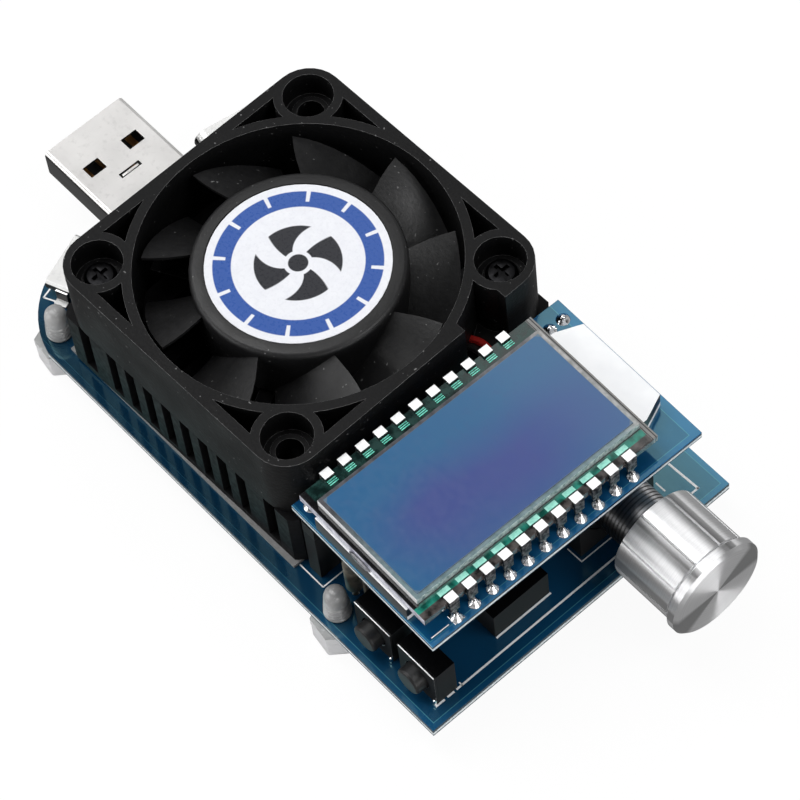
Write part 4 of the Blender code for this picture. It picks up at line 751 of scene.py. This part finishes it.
def label_finish():
    """Plain printed disc: a blue band with white ticks and a small fan sign in the middle."""
    made = Finish("label_print", (0.82, 0.83, 0.86), 0.34, Coat_Weight=0.1, Coat_Roughness=0.2,
                  Specular_IOR_Level=0.3)
    x, y = made.plan(LABEL_TURN)
    radius = made.distance(x, y)
    angle = made.calc("ARCTAN2", y, x)
    soft = 0.05 * MM

    def circle(limit, within, outside):
        return made.level(radius, limit * MM - soft, limit * MM + soft, within, outside)

    band = made.times(circle(7.55, 0.0, 1.0), circle(9.65, 1.0, 0.0))
    tick_wave = made.calc("PINGPONG", angle, math.pi / 12)
    ticks = made.times(made.level(tick_wave, 0.02, 0.03, 1.0, 0.0), made.reach(radius, 8.2, 8.3))
    band = made.times(band, made.less(1.0, ticks))
    petal_turn = made.plus(angle, made.times(radius, 140.0))
    petal_wave = made.calc("PINGPONG", petal_turn, math.pi / 4)
    petal_width = made.reach(radius, 1.3, 5.0, 0.28, 0.52)
    petals = made.level(made.less(petal_wave, petal_width), -0.02, 0.02, 1.0, 0.0)
    petals = made.times(made.times(petals, circle(5.0, 1.0, 0.0)), circle(1.65, 0.0, 1.0))
    sign = made.most(petals, circle(1.15, 1.0, 0.0))
    paper = made.mix(made.patches(1100.0, 3.0, 0.3, 0.7), (0.66, 0.67, 0.71), (0.7, 0.71, 0.745))
    colour = made.mix(band, paper, (0.021, 0.075, 0.3))
    made.paint(sign, colour, (0.012, 0.013, 0.018))
    made.gloss(made.noise(2400.0), 0.24, 0.34)
    return made.material


def mottled_body():
    """Dull sleeve of the upright part, grey brown with darker patches."""
    made = Finish("resistor_sleeve", (0.1, 0.09, 0.07), 0.45, Coat_Weight=0.2, Coat_Roughness=0.2)
    patch = made.patches(700.0, 4.0, 0.35, 0.65)
    made.paint(patch, (0.03, 0.028, 0.022), (0.14, 0.125, 0.095))
    made.relief(made.noise(1300.0), 0.02)
    return made.material


def dark_case(name, shine):
    """Black case, nearly lightless on top, with its walls painted lighter as painted light, and with bright
    metal at its front edges as a painted highlight where shine is one.
    """
    made = Finish(name, (0.003, 0.003, 0.0034), 0.42, Specular_IOR_Level=0.03)
    grains = made.noise(5200.0)
    skin = made.mix(made.level(grains, 0.4, 0.8, 0.0, 0.5), (0.001, 0.001, 0.0012), (0.004, 0.004, 0.005))
    # Painted light: the walls are lighter than the top.
    skin = made.mix(made.upright(), skin, (0.015, 0.016, 0.017))
    # Painted highlight: bright metal on the front edges, and on the corner edge only beyond x 38 to 40 mm;
    # the eased edges are paler, partly wear and partly painted highlight.
    to_front = made.level(made.facing("Y", -1.0), 0.2, 0.3)
    corner = made.times(made.level(made.facing("X"), 0.2, 0.3), to_front)
    place = made.split(made.place)["X"]
    corner = made.times(corner, made.level(place, HUB.x + 38.0 * MM, HUB.x + 40.0 * MM))
    front = made.times(made.most(made.times(made.edges(), to_front), corner), shine)
    worn = made.mix(made.times(made.edges(), 0.2 * shine), skin, grey(0.3))
    made.paint(front, worn, grey(0.97))
    made.to("Metallic", front)
    made.relief(grains, 0.006)
    return made.material


def tape_and_guide():
    """Frosted light guide, its near side covered with dark tape."""
    made = Finish("light_guide_white", (0.86, 0.87, 0.89), 0.35, Coat_Weight=0.3, Coat_Roughness=0.1)
    skin = made.mix(made.patches(260.0, 3.0, 0.3, 0.7), (0.72, 0.73, 0.75), (0.8, 0.81, 0.82))
    skin = made.mix(made.level(made.facing("Y", -1.0), 0.5, 0.6), skin, (0.006, 0.006, 0.007))
    low = made.level(made.split(made.place)["Z"], HUB.z + 14.7 * MM, HUB.z + 14.75 * MM)
    cut = made.mix(low, (0.8, 0.81, 0.83), (0.008, 0.008, 0.009))
    made.paint(made.level(made.facing("X"), 0.5, 0.6), skin, cut)
    made.relief(made.noise(1500.0), 0.01)
    return made.material


def silk_white():
    """White print, a little worn."""
    made = Finish("legend_ink", (0.78, 0.79, 0.8), 0.6)
    patch = made.noise(3800.0, 3.0)
    made.paint(made.level(patch, 0.3, 0.75), (0.82, 0.83, 0.84), grey(0.97))
    made.relief(patch, 0.01)
    return made.material


board_thick = (board_high.z - board_low.z) / MM
# The last value brightens the main board's far corner as a painted reflection.
board_finish = board_blue("board_lacquer", 45.85, 22.4, 0.0, board_thick, 0.0, (0.004, 0.042, 0.1), 1.9)
display_finish = board_blue("display_board_lacquer", DISPLAY_X[1], 19.41, DISPLAY_Z[1], 1.0, DISPLAY_TURN,
                            (0.005, 0.068, 0.18))
fan_plastic = moulded("fan_black_plastic", (0.0045, 0.0045, 0.0048), 0.46, 2400.0, 0.035, 0.12, 0.22)
rotor_plastic = moulded("rotor_black_plastic", (0.007, 0.007, 0.0075), 0.42, 2400.0, 0.03, 0.35, 0.006)
black_plastic = moulded("black_insulator", (0.006, 0.006, 0.0065), 0.5, 3000.0, 0.012, 0.3)
switch_metal = dark_case("switch_cover_black", 1.0)
case_finish = dark_case("dark_case_black", 0.0)
switch_plunger = moulded("switch_plunger_black", (0.01, 0.01, 0.0105), 0.42, 4200.0, 0.012, 0.35)
rim_highlight_finish = plain_metal("worn_rim", grey(0.95), 0.5, 3000.0, 0.002)
cream_plastic = moulded("cream_connector", (0.7, 0.67, 0.58), 0.42, 2600.0, 0.01)
pad_finish = moulded("grey_pad", grey(0.2), 0.85, 1500.0, 0.05)
ferrite_finish = dark_case("ferrite_black", 0.0)
chip_finish = moulded("chip_black_resin", (0.012, 0.012, 0.013), 0.5, 2200.0, 0.015)
magnet_finish = moulded("magnet_grey", grey(0.05), 0.6, 1600.0, 0.03)
red_lead = moulded("lead_red_sleeve", (0.35, 0.015, 0.012), 0.4, 2400.0, 0.01)
black_lead = moulded("lead_black_sleeve", grey(0.012), 0.4, 2400.0, 0.01)
sink_finish = anodised("sink_black_anodised", (0.0055, 0.0055, 0.006), 0.42)
plug_steel = drawn_steel("plug_steel", (0.61, 0.6, 0.59), 0.3, (0.3, 1.0, 1.0), 0.0003)
socket_steel = drawn_steel("socket_steel", (0.74, 0.74, 0.73), 0.3, (1.0, 0.3, 1.0), 0.0015)
clip_steel = clip_finish()
solder = plain_metal("solder_bright", (0.9, 0.9, 0.91), 0.13, 1700.0, 0.012)
gold = plain_metal("contact_gold", (0.34, 0.17, 0.06), 0.34, 2600.0, 0.004)
copper = plain_metal("copper_winding", (0.42, 0.17, 0.07), 0.35, 2600.0, 0.02)
bronze = plain_metal("bearing_bronze", (0.4, 0.27, 0.13), 0.45, 3000.0, 0.01)
bright_shaft = plain_metal("ground_shaft", grey(0.62), 0.25, 3400.0, 0.003)
# The ridge gets the same steel painted lighter than the core: a painted highlight on the thread's crest.
gunmetal = thread_steel("thread_gunmetal", (0.07, 0.07, 0.072), (0.24, 0.24, 0.245))
thread_crest = thread_steel("thread_crest", (0.1, 0.1, 0.102), (0.5, 0.5, 0.51))
black_steel = plain_metal("black_screw_steel", (0.014, 0.014, 0.015), 0.4, 3000.0, 0.006)
knob_finish = turned_aluminium("knob_turned", (0.98, 0.98, 0.99), 0.42)
nylon = nylon_finish()
rear_glass_finish = rear_pane_finish()
front_glass_finish = front_pane_finish()
film_finish = polariser_finish()
label_print = label_finish()
ink = silk_white()
guide_finish = tape_and_guide()
resistor_finish = mottled_body()


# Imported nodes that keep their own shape

for finish, kept in (
    (board_finish, "main_board"), (pad_finish, "thermal_pad"), (copper, "fan_stator"),
    (bronze, "fan_bearing"), (magnet_finish, "fan_magnet_ring"), (label_print, "fan_label"),
    (red_lead, "fan_lead_red"), (black_lead, "fan_lead_black"), (cream_plastic, "fan_plug"),
    (film_finish, "lcd_polariser"),
    (chip_finish, "power_transistor shunt_resistor"), (bright_shaft, "fan_shaft pot_shaft"),
    (black_plastic, "header_pins_1 header_pins_2 usb_a_tongue micro_usb_tongue"),
    (gold, "pot_wiper usb_a_contact_1 usb_a_contact_2 usb_a_contact_3 usb_a_contact_4"),
):
    for node in kept.split():
        dress(nodes[node], finish)

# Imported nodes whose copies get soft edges, where # stands for one and two
for node, name, finish, slot, width in (
    ("fan_frame", "fan_housing", fan_plastic, "fan_black", 0.2),
    ("heat_sink", "finned_sink", sink_finish, "black_aluminium", 0.06),
    ("usb_a_shell", "plug_shell", plug_steel, "bright_steel", 0.05),
    ("micro_usb_shell", "micro_shell", socket_steel, "bright_steel", 0.04),
    ("fan_socket", "lead_header", cream_plastic, "connector_cream", 0.08),
    ("header_socket_#", "socket_strip_#", case_finish, "insulator_black", 0.06),
    ("pot_body", "pot_housing", black_plastic, "insulator_black", 0.12),
    ("pot_cover", "pot_back_plate", socket_steel, "bright_steel", 0.08),
    ("control_chip", "controller_chip", chip_finish, "chip_black", 0.03),
    ("button_#_body", "switch_#_base", case_finish, "insulator_black", 0.08),
    ("button_#_cover", "switch_#_cover", switch_metal, "button_black", 0.15),
    ("fan_screw_#", "corner_screw_#", black_steel, "black_screw", 0.05),
    ("lcd_rear_glass", "rear_pane", rear_glass_finish, "lcd_glass", 0.06),
    ("lcd_front_glass", "front_pane", front_glass_finish, "lcd_glass", 0.05),
    ("lcd_backlight", "light_guide", guide_finish, "light_guide", 0.15),
):
    for number in ("1", "2") if "#" in node else ("",):
        packed = node.replace("#", number)
        fit(eased(copy_of(packed, name.replace("#", number)), width), finish, packed)

for number in (1, 2, 3, 4):
    nut = f"foot_nut_{number}"
    fit(eased(copy_of(nut, f"nylon_nut_{number}"), 0.15), nylon, nut)

for number in (1, 2):
    plunger = f"button_{number}_plunger"
    fit(eased(copy_of(plunger, f"switch_{number}_plunger"), 0.12), switch_plunger, plunger,
        f"button_{number}")

fit(smooth(copy_of("fan_rotor", "bladed_rotor"), 40), rotor_plastic, "fan_rotor", "fan_rotor")
fit(smooth(copy_of("upright_resistor", "standing_resistor"), 40), resistor_finish,
    "upright_resistor")


# Round socket, set a little nearer to the plug as the photo shows it

for node, name, finish, slot in (("type_c_shell", "round_shell", socket_steel, "bright_steel"),
                                 ("type_c_tongue", "round_tongue", black_plastic, "insulator_black")):
    socket_part = copy_of(node, name)
    socket_part.location = ROUND_SOCKET_SHIFT
    fit(eased(settle(socket_part), 0.04), finish, node)


# Choke, plug tab, switch legs, and bright rims on the switch covers as painted highlights

choke = block("shielded_choke", (33.7, 42.05), (-9.75, -1.6), (0.0, 4.4))
fit(eased(choke, 0.08), ferrite_finish, "filter_inductor")
tab = block("plug_tab", (-32.36, -31.94), (-1.75, 0.75), (4.0, 4.42))
fit(eased(tab, 0.12, 3), plug_steel)
leg = block("switch_leg_1", (36.15, 36.55), (-20.25, -19.85), (0.0, 1.0))
for part in repeats(eased(leg, 0.08), [(SWITCH_PITCH, 0.0, 0.0)]):
    fit(part, solder)
# Thin bright metal strips along the switch covers' front top edges: painted highlights.
for number in (1, 2):
    near, far = [(corner - HUB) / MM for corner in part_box(f"button_{number}_cover")]
    rim = block(f"switch_rim_{number}", (near.x + 0.1, far.x - 0.04), (near.y - 0.03, near.y + 0.13),
                (far.z - 0.13, far.z + 0.03))
    fit(eased(rim, 0.05), rim_highlight_finish)


# Nylon feet

def nylon_screw(number):
    """Hex head below the board, threaded stud and rounded tip above it."""
    low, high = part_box(f"foot_screw_{number}")
    middle = (low + high) / 2
    head_top = HUB.z - HEX_DROP * MM
    head = rod(f"nylon_foot_{number}", (middle.x, middle.y, (low.z + head_top) / 2), HEX_RADIUS * MM,
               head_top - low.z, 6)
    eased(turned_about(head, middle, HEX_TURN), 0.3, 3)
    stud_low = low.z + STUD_LIFT * MM
    profile = [(0.0, stud_low), (1.4 * MM, stud_low)]
    profile += [(radius * MM, high.z - drop * MM) for radius, drop in STUD_SHAPE]
    stud = smooth(lathe("nylon_stud", profile, "Z", (middle.x, middle.y, 0.0), 32), 28)
    alone(head)
    stud.select_set(True)
    bpy.ops.object.join()
    fit(head, nylon, f"foot_screw_{number}")


for number in (1, 2, 3, 4):
    nylon_screw(number)


# Display board, clips and solder

def edge_clip():
    """One bent strip: a leaf over the glass, the plate beside it, a leaf under it and a narrow leg."""
    inner = DISPLAY_MID + CLIP_PLATE
    half = CLIP_WIDTH / 2
    low, high = CLIP_FIRST - half, CLIP_FIRST + half
    clip = block("edge_clip_1", (inner - CLIP_REACH, inner), (low, high), (CLIP_TOP - CLIP_METAL, CLIP_TOP))
    choose(clip, lambda face: face.normal.x > 0.9)
    push((CLIP_METAL, 0.0, 0.0))
    close()
    beyond = spot(inner + 0.01, 0.0).x
    choose(clip, lambda face: face.normal.z < -0.9 and face.calc_center_median().x > beyond)
    push((0.0, 0.0, CLIP_LOW + CLIP_METAL - CLIP_TOP + CLIP_METAL), (0.0, 0.0, -CLIP_METAL))
    close()
    below = spot(0.0, 0.0, CLIP_LOW + CLIP_METAL + 0.01).z
    choose(clip, lambda face: face.normal.x < -0.9 and face.calc_center_median().z < below)
    push((-CLIP_REACH, 0.0, 0.0))
    close()
    under = spot(0.0, 0.0, CLIP_LOW + 0.01).z
    choose(clip, lambda face: face.normal.z < -0.9 and face.calc_center_median().x > beyond
           and face.calc_center_median().z < under)
    push((0.0, 0.0, -CLIP_NECK), (0.0, 0.0, -CLIP_TAPER))
    bpy.ops.transform.resize(value=(1.0, CLIP_LEG / CLIP_WIDTH, 1.0),
                             center_override=tuple(spot(inner, CLIP_FIRST, CLIP_LOW)))
    push((0.0, 0.0, CLIP_TAIL - CLIP_LOW + CLIP_NECK + CLIP_TAPER))
    close()
    return eased(clip, 0.03, 2)


def clip_rows(first, finish, stem):
    """Repeats a piece along both rows, the far row turned to face the near one."""
    near = repeats(first, ROW_STEPS)
    far = []
    for number, piece in enumerate(near):
        alone(piece)
        bpy.ops.object.duplicate()
        row_place = spot(DISPLAY_MID, CLIP_FIRST + CLIP_PITCH * number)
        far.append(turned_about(bpy.context.object, row_place, 180))
    for number, piece in enumerate(near + far, 1):
        piece.name = f"{stem}_{number}"
        fit(on_display(piece), finish)


def solder_cone(name, x, y, radius, height):
    """A bright mound of solder standing on the display board."""
    profile = [(radius * share * MM, HUB.z + (DISPLAY_Z[1] - 0.01 + height * rise) * MM)
               for share, rise in SOLDER_SHAPE]
    return smooth(lathe(name, profile, "Z", (HUB.x + x * MM, HUB.y + y * MM, 0.0), 24), 60)


plate = block("display_plate", DISPLAY_X, DISPLAY_Y, DISPLAY_Z)
fit(on_display(eased(plate, 0.05, 1)), display_finish, "display_board")
clip_rows(edge_clip(), clip_steel, "edge_clip")
clip_rows(solder_cone("solder_joint_1", JOINT_X, CLIP_FIRST, 0.78, 0.95), solder, "solder_joint")
for row, (x, y) in enumerate(((22.1, -15.8), (23.6, 16.18))):
    for step in (-1, 0, 1):
        mound = solder_cone(f"pin_solder_{row * 3 + step + 2}", x, y + 2.0 * step, 0.85, 0.75)
        fit(mound, solder)

# Square land under the first near joint
first_pad = block("first_pad", (JOINT_X - 0.75, JOINT_X + 0.65), (CLIP_FIRST - 0.7, CLIP_FIRST + 0.7),
                  (DISPLAY_Z[1], DISPLAY_Z[1] + 0.05))
fit(on_display(eased(first_pad, 0.02, 1)), solder)


# Painted reflections on the glass beside both rows of clips

def mint_finish(name, dark, light):
    """Clear glass with a green or mint gleam, used for painted reflections."""
    made = Finish(name, light, 0.3, Coat_Weight=0.6, Coat_Roughness=0.05)
    made.paint(made.patches(2600.0, 2.0, 0.3, 0.7), dark, light)
    return made.material


def along_row(first, finish, stem):
    """Repeats a painted reflection beside every clip of one row."""
    for number, mark in enumerate(repeats(first, ROW_STEPS), 1):
        mark.name = f"{stem}_{number}"
        fit(on_display(mark), finish)


def glass_reflections():
    """A pale mint patch beside each near clip, a painted reflection on the ledge's contact pads, and three
    thin green gleams beside each far one, painted highlights.
    """
    mint = mint_finish("ledge_mint", (0.24, 0.68, 0.55), (0.42, 0.88, 0.75))
    green = mint_finish("gleam_green", (0.03, 0.36, 0.26), (0.2, 0.8, 0.62))
    thin = (GLASS_TOP, GLASS_TOP + 0.03)
    patch = block("ledge_mark_1", (41.35, 42.0), (CLIP_FIRST - 0.75, CLIP_FIRST + 0.75), thin)
    along_row(eased(patch, 0.01, 1), mint, "ledge_mark")
    gleam = block("leaf_gleam_1", (22.98, 23.12), (CLIP_FIRST - 0.6, CLIP_FIRST + 0.6), thin)
    applied(gleam, "ARRAY", count=3, use_relative_offset=False, use_constant_offset=True,
            constant_offset_displace=(0.26 * MM, 0.0, 0.0))
    along_row(eased(gleam, 0.01, 1), green, "leaf_gleam")


glass_reflections()


# Sealant at the display's near end

def glue_bead():
    """A clear bead of glue that bulges from the stack's near end."""
    bead = dome("glue_bead", spot(32.4, -18.62, 16.15), (3.6 * MM, 0.5 * MM, 0.9 * MM), 12, 24)
    made = Finish("clear_glue", (0.1, 0.105, 0.12), 0.08, Coat_Weight=1.0, Coat_Roughness=0.03)
    made.paint(made.patches(900.0, 3.0, 0.3, 0.7), (0.03, 0.032, 0.04), (0.2, 0.2, 0.22))
    fit(on_display(smooth(bead, 60)), made.material)


glue_bead()


# White lines on the boards

def drawn_line(name, start, end, width, z=0.0, turn=0.0):
    """A printed line between two points in millimetres."""
    run = Vector(end) - Vector(start)
    line = block(name, (0.0, run.length), (-width / 2, width / 2), (0.0, 0.02))
    line.matrix_world = (Matrix.Translation(spot(start[0], start[1], z, turn))
                         @ Matrix.Rotation(math.atan2(run.y, run.x) + math.radians(turn), 4, "Z")
                         @ Matrix.Translation(-HUB))
    settle(line)
    return fit(line, ink)


for number, (start, end, width) in enumerate((
    ((43.86, -17.16), (43.86, 19.55), 0.24), ((43.96, 19.45), (38.9, 19.24), 0.28),
    ((40.1, 16.5), (41.6, 16.52), 0.2), ((39.4, 3.56), (41.75, 3.6), 0.15),
    ((41.7, 3.6), (41.73, 8.2), 0.15), ((42.2, -9.71), (42.2, -1.56), 0.24),
    ((43.86, -20.2), (43.86, -18.9), 0.26), ((43.86, -18.5), (43.86, -17.5), 0.26),
    ((43.4, -16.36), (43.98, -16.36), 0.18), ((20.1, -19.44), (24.1, -19.44), 0.16),
    ((24.1, -19.44), (24.1, -12.2), 0.16), ((-28.6, -16.0), (-27.98, -18.05), 0.2),
    ((-27.98, -18.0), (-25.4, -16.8), 0.2), ((-25.4, -16.8), (-25.95, -15.5), 0.2),
), 1):
    drawn_line(f"board_line_{number}", start, end, width)
drawn_line("display_line_1", (43.56, -18.3), (43.58, -15.84), 0.12, DISPLAY_Z[1], DISPLAY_TURN)


# Knob and its bushing

def fluted_knob():
    """Knob body with ten sharp grooves, a neck, a rim and a turned face."""
    low, high = knob_low.x, knob_high.x
    body, rim, neck, bore = 5.93 * MM, 6.4 * MM, 5.53 * MM, 3.05 * MM
    rim_low = high - 1.5 * MM
    profile = [(bore, low + 7.6 * MM), (bore, low), (body - 0.35 * MM, low),
               (body - 0.1 * MM, low + 0.1 * MM), (body, low + 0.35 * MM), (body, rim_low - 0.42 * MM),
               (body - 0.05 * MM, rim_low - 0.36 * MM), (neck, rim_low - 0.33 * MM),
               (neck, rim_low - 0.04 * MM), (rim - 0.12 * MM, rim_low),
               (rim, rim_low + 0.12 * MM), (rim, high - 0.42 * MM), (rim - 0.42 * MM, high - 0.02 * MM),
               (rim - 0.5 * MM, high), (rim - 2.2 * MM, high), (rim - 4.2 * MM, high), (0.0, high)]
    knob = lathe("fluted_knob", profile, "X", KNOB_AXIS, 240)
    flute_width = math.cos(math.radians(0.8))
    for number in range(FLUTES):
        flute = math.radians(34.5 + 360.0 / FLUTES * number)
        away = Vector((0.0, math.cos(flute), math.sin(flute)))
        choose(knob, lambda point: low + 0.02 * MM < point.co.x < rim_low - 0.3 * MM
               and (point.co - KNOB_AXIS).yz.length > neck + 0.05 * MM
               and (point.co - KNOB_AXIS).yz.normalized().dot(away.yz) > flute_width, "VERT")
        bpy.ops.transform.translate(value=tuple(-0.24 * MM * away))
        close()
    open_all(knob)
    close_outward()
    fit(smooth(knob, 22), knob_finish, "knob", "control_knob")


def threaded_bushing():
    """The plain bushing with a helical ridge wound on it."""
    core = eased(copy_of("pot_bushing", "bushing_core"), 0.06)
    pitch, radius = 0.5 * MM, 3.5 * MM
    start, end = bushing_low.x + 1.35 * MM, bushing_high.x - 0.25 * MM
    turns = int((end - start) / pitch)
    ridge = fresh("bushing_thread", "circle", vertices=3, radius=0.36 * pitch,
                  location=(0.0, 0.0, radius - 0.02 * MM))
    settle(ridge)
    choose(ridge, lambda point: True, "VERT")
    bpy.ops.transform.rotate(value=math.pi / 2, orient_axis="X", center_override=(0.0, 0.0, radius))
    close()
    applied(ridge, "SCREW", axis="X", angle=2 * math.pi * turns, screw_offset=pitch * turns, steps=48 * turns,
            render_steps=48 * turns, iterations=1, use_merge_vertices=False)
    open_all(ridge)
    bpy.ops.mesh.fill_holes(sides=0)
    close_outward()
    ridge.location = (start, KNOB_AXIS.y, KNOB_AXIS.z)
    smooth(settle(ridge), 25)
    fit(core, gunmetal, "pot_bushing")
    fit(ridge, thread_crest)


fluted_knob()
threaded_bushing()


# Studio

def studio_floor():
    """White floor: it glows for the camera, less in reflections, and is plain paint for all other light."""
    floor = fresh("studio_floor", "plane", size=4.0, location=(0.0, 0.0, cad_box[0][2] - 0.02 * MM))
    white = bpy.data.materials.new("floor_white")
    made = Nodes(white)
    made.tree.nodes.clear()
    ray = made.add("LightPath").outputs
    mirrored = ray["Is Glossy Ray"]
    seen = made.most(made.most(ray["Is Camera Ray"], mirrored), ray["Is Transmission Ray"])
    paint = made.add("BsdfDiffuse")
    glow = made.add("Emission")
    blend = made.add("MixShader")
    out = made.add("OutputMaterial")
    made.feed(paint.inputs["Color"], made.level(mirrored, 0.0, 1.0, 0.9, 0.3))
    made.feed(glow.inputs["Strength"], made.level(mirrored, 0.0, 1.0, 1.0, 0.3))
    for index, source in enumerate((made.times(seen, 0.94), paint.outputs[0], glow.outputs[0])):
        made.feed(blend.inputs[index], source)
    made.feed(out.inputs["Surface"], blend.outputs[0])
    floor.data.materials.append(white)


def studio_world():
    """White to the camera, and a plain room with a darker ceiling for everything else."""
    world = bpy.data.worlds.new("studio")
    bpy.context.scene.world = world
    made = Nodes(world)
    made.tree.nodes.clear()
    up = made.split(made.add("TexCoord").outputs["Generated"])["Z"]
    ray = made.add("LightPath").outputs
    soft = made.blend(ray["Is Diffuse Ray"], made.level(up, 0.0, 0.5, 0.75, 0.07), 0.3)
    background = made.add("Background")
    out = made.add("OutputWorld")
    made.feed(background.inputs["Strength"], made.blend(ray["Is Camera Ray"], soft, 1.0))
    made.feed(out.inputs["Surface"], background.outputs[0])


def soft_lamp(name, place, aim, size, power, swing):
    """A softbox that looks at a point, swung about its own line of sight."""
    data = bpy.data.lights.new(name, "AREA")
    data.shape = "RECTANGLE"
    data.size, data.size_y = size
    data.energy = power
    lamp = bpy.data.objects.new(name, data)
    bpy.context.scene.collection.objects.link(lamp)
    lamp.location = place
    view = (Vector(aim) - Vector(place)).to_track_quat("-Z", "Y").to_matrix()
    lamp.rotation_euler = (view @ Matrix.Rotation(math.radians(swing), 3, "Z")).to_euler()


def camera():
    """The photograph's own viewpoint: azimuth, height, distance, tilt and lens worked out from the photo."""
    azimuth, elevation, roll = math.radians(55.242), math.radians(58.697), math.radians(-7.925)
    target = Vector((8.746, -0.534, 15.2)) * MM
    distance = 414.216 * MM
    back = Vector((math.sin(azimuth) * math.cos(elevation), -math.cos(azimuth) * math.cos(elevation),
                   math.sin(elevation)))
    right = (-back).cross(Vector((0.0, 0.0, 1.0))).normalized()
    up = right.cross(-back)
    across = right * math.cos(roll) + up * math.sin(roll)
    upward = up * math.cos(roll) - right * math.sin(roll)
    data = bpy.data.cameras.new("photo_camera")
    data.lens = 166.87
    data.sensor_width = 36.0
    data.sensor_fit = "HORIZONTAL"
    data.clip_start = 0.01
    data.clip_end = 20.0
    seer = bpy.data.objects.new("photo_camera", data)
    bpy.context.scene.collection.objects.link(seer)
    axes = Matrix((across, upward, back)).transposed().to_4x4()
    seer.matrix_world = Matrix.Translation(target + back * distance) @ axes
    bpy.context.scene.camera = seer


studio_floor()
studio_world()
middle = (0.0, 0.0, 0.01)
for name, place, aim, size, power, swing in (
    ("key_softbox", (-0.38, -0.1, 0.8), middle, (0.36, 0.9), 5.4, 0.0),
    ("back_softbox", (-0.41, 0.38, 0.6), (-0.41, 0.38, 0.0), (0.7, 0.4), 1.4, 17.5),
    ("left_strip", (-0.3, -0.55, 0.22), middle, (0.45, 0.5), 2.2, 0.0),
    ("right_strip", (-0.3, 0.6, 0.06), middle, (0.5, 0.12), 0.2, 0.0),
    ("front_softbox", (0.75, -0.1, 0.14), middle, (0.6, 0.25), 2.0, 0.0),
    ("high_fill", (0.55, 0.3, 0.78), middle, (0.4, 0.4), 3.0, 0.0),
):
    soft_lamp(name, place, aim, size, power, swing)
camera()
bpy.context.scene.view_settings.view_transform = "Standard"
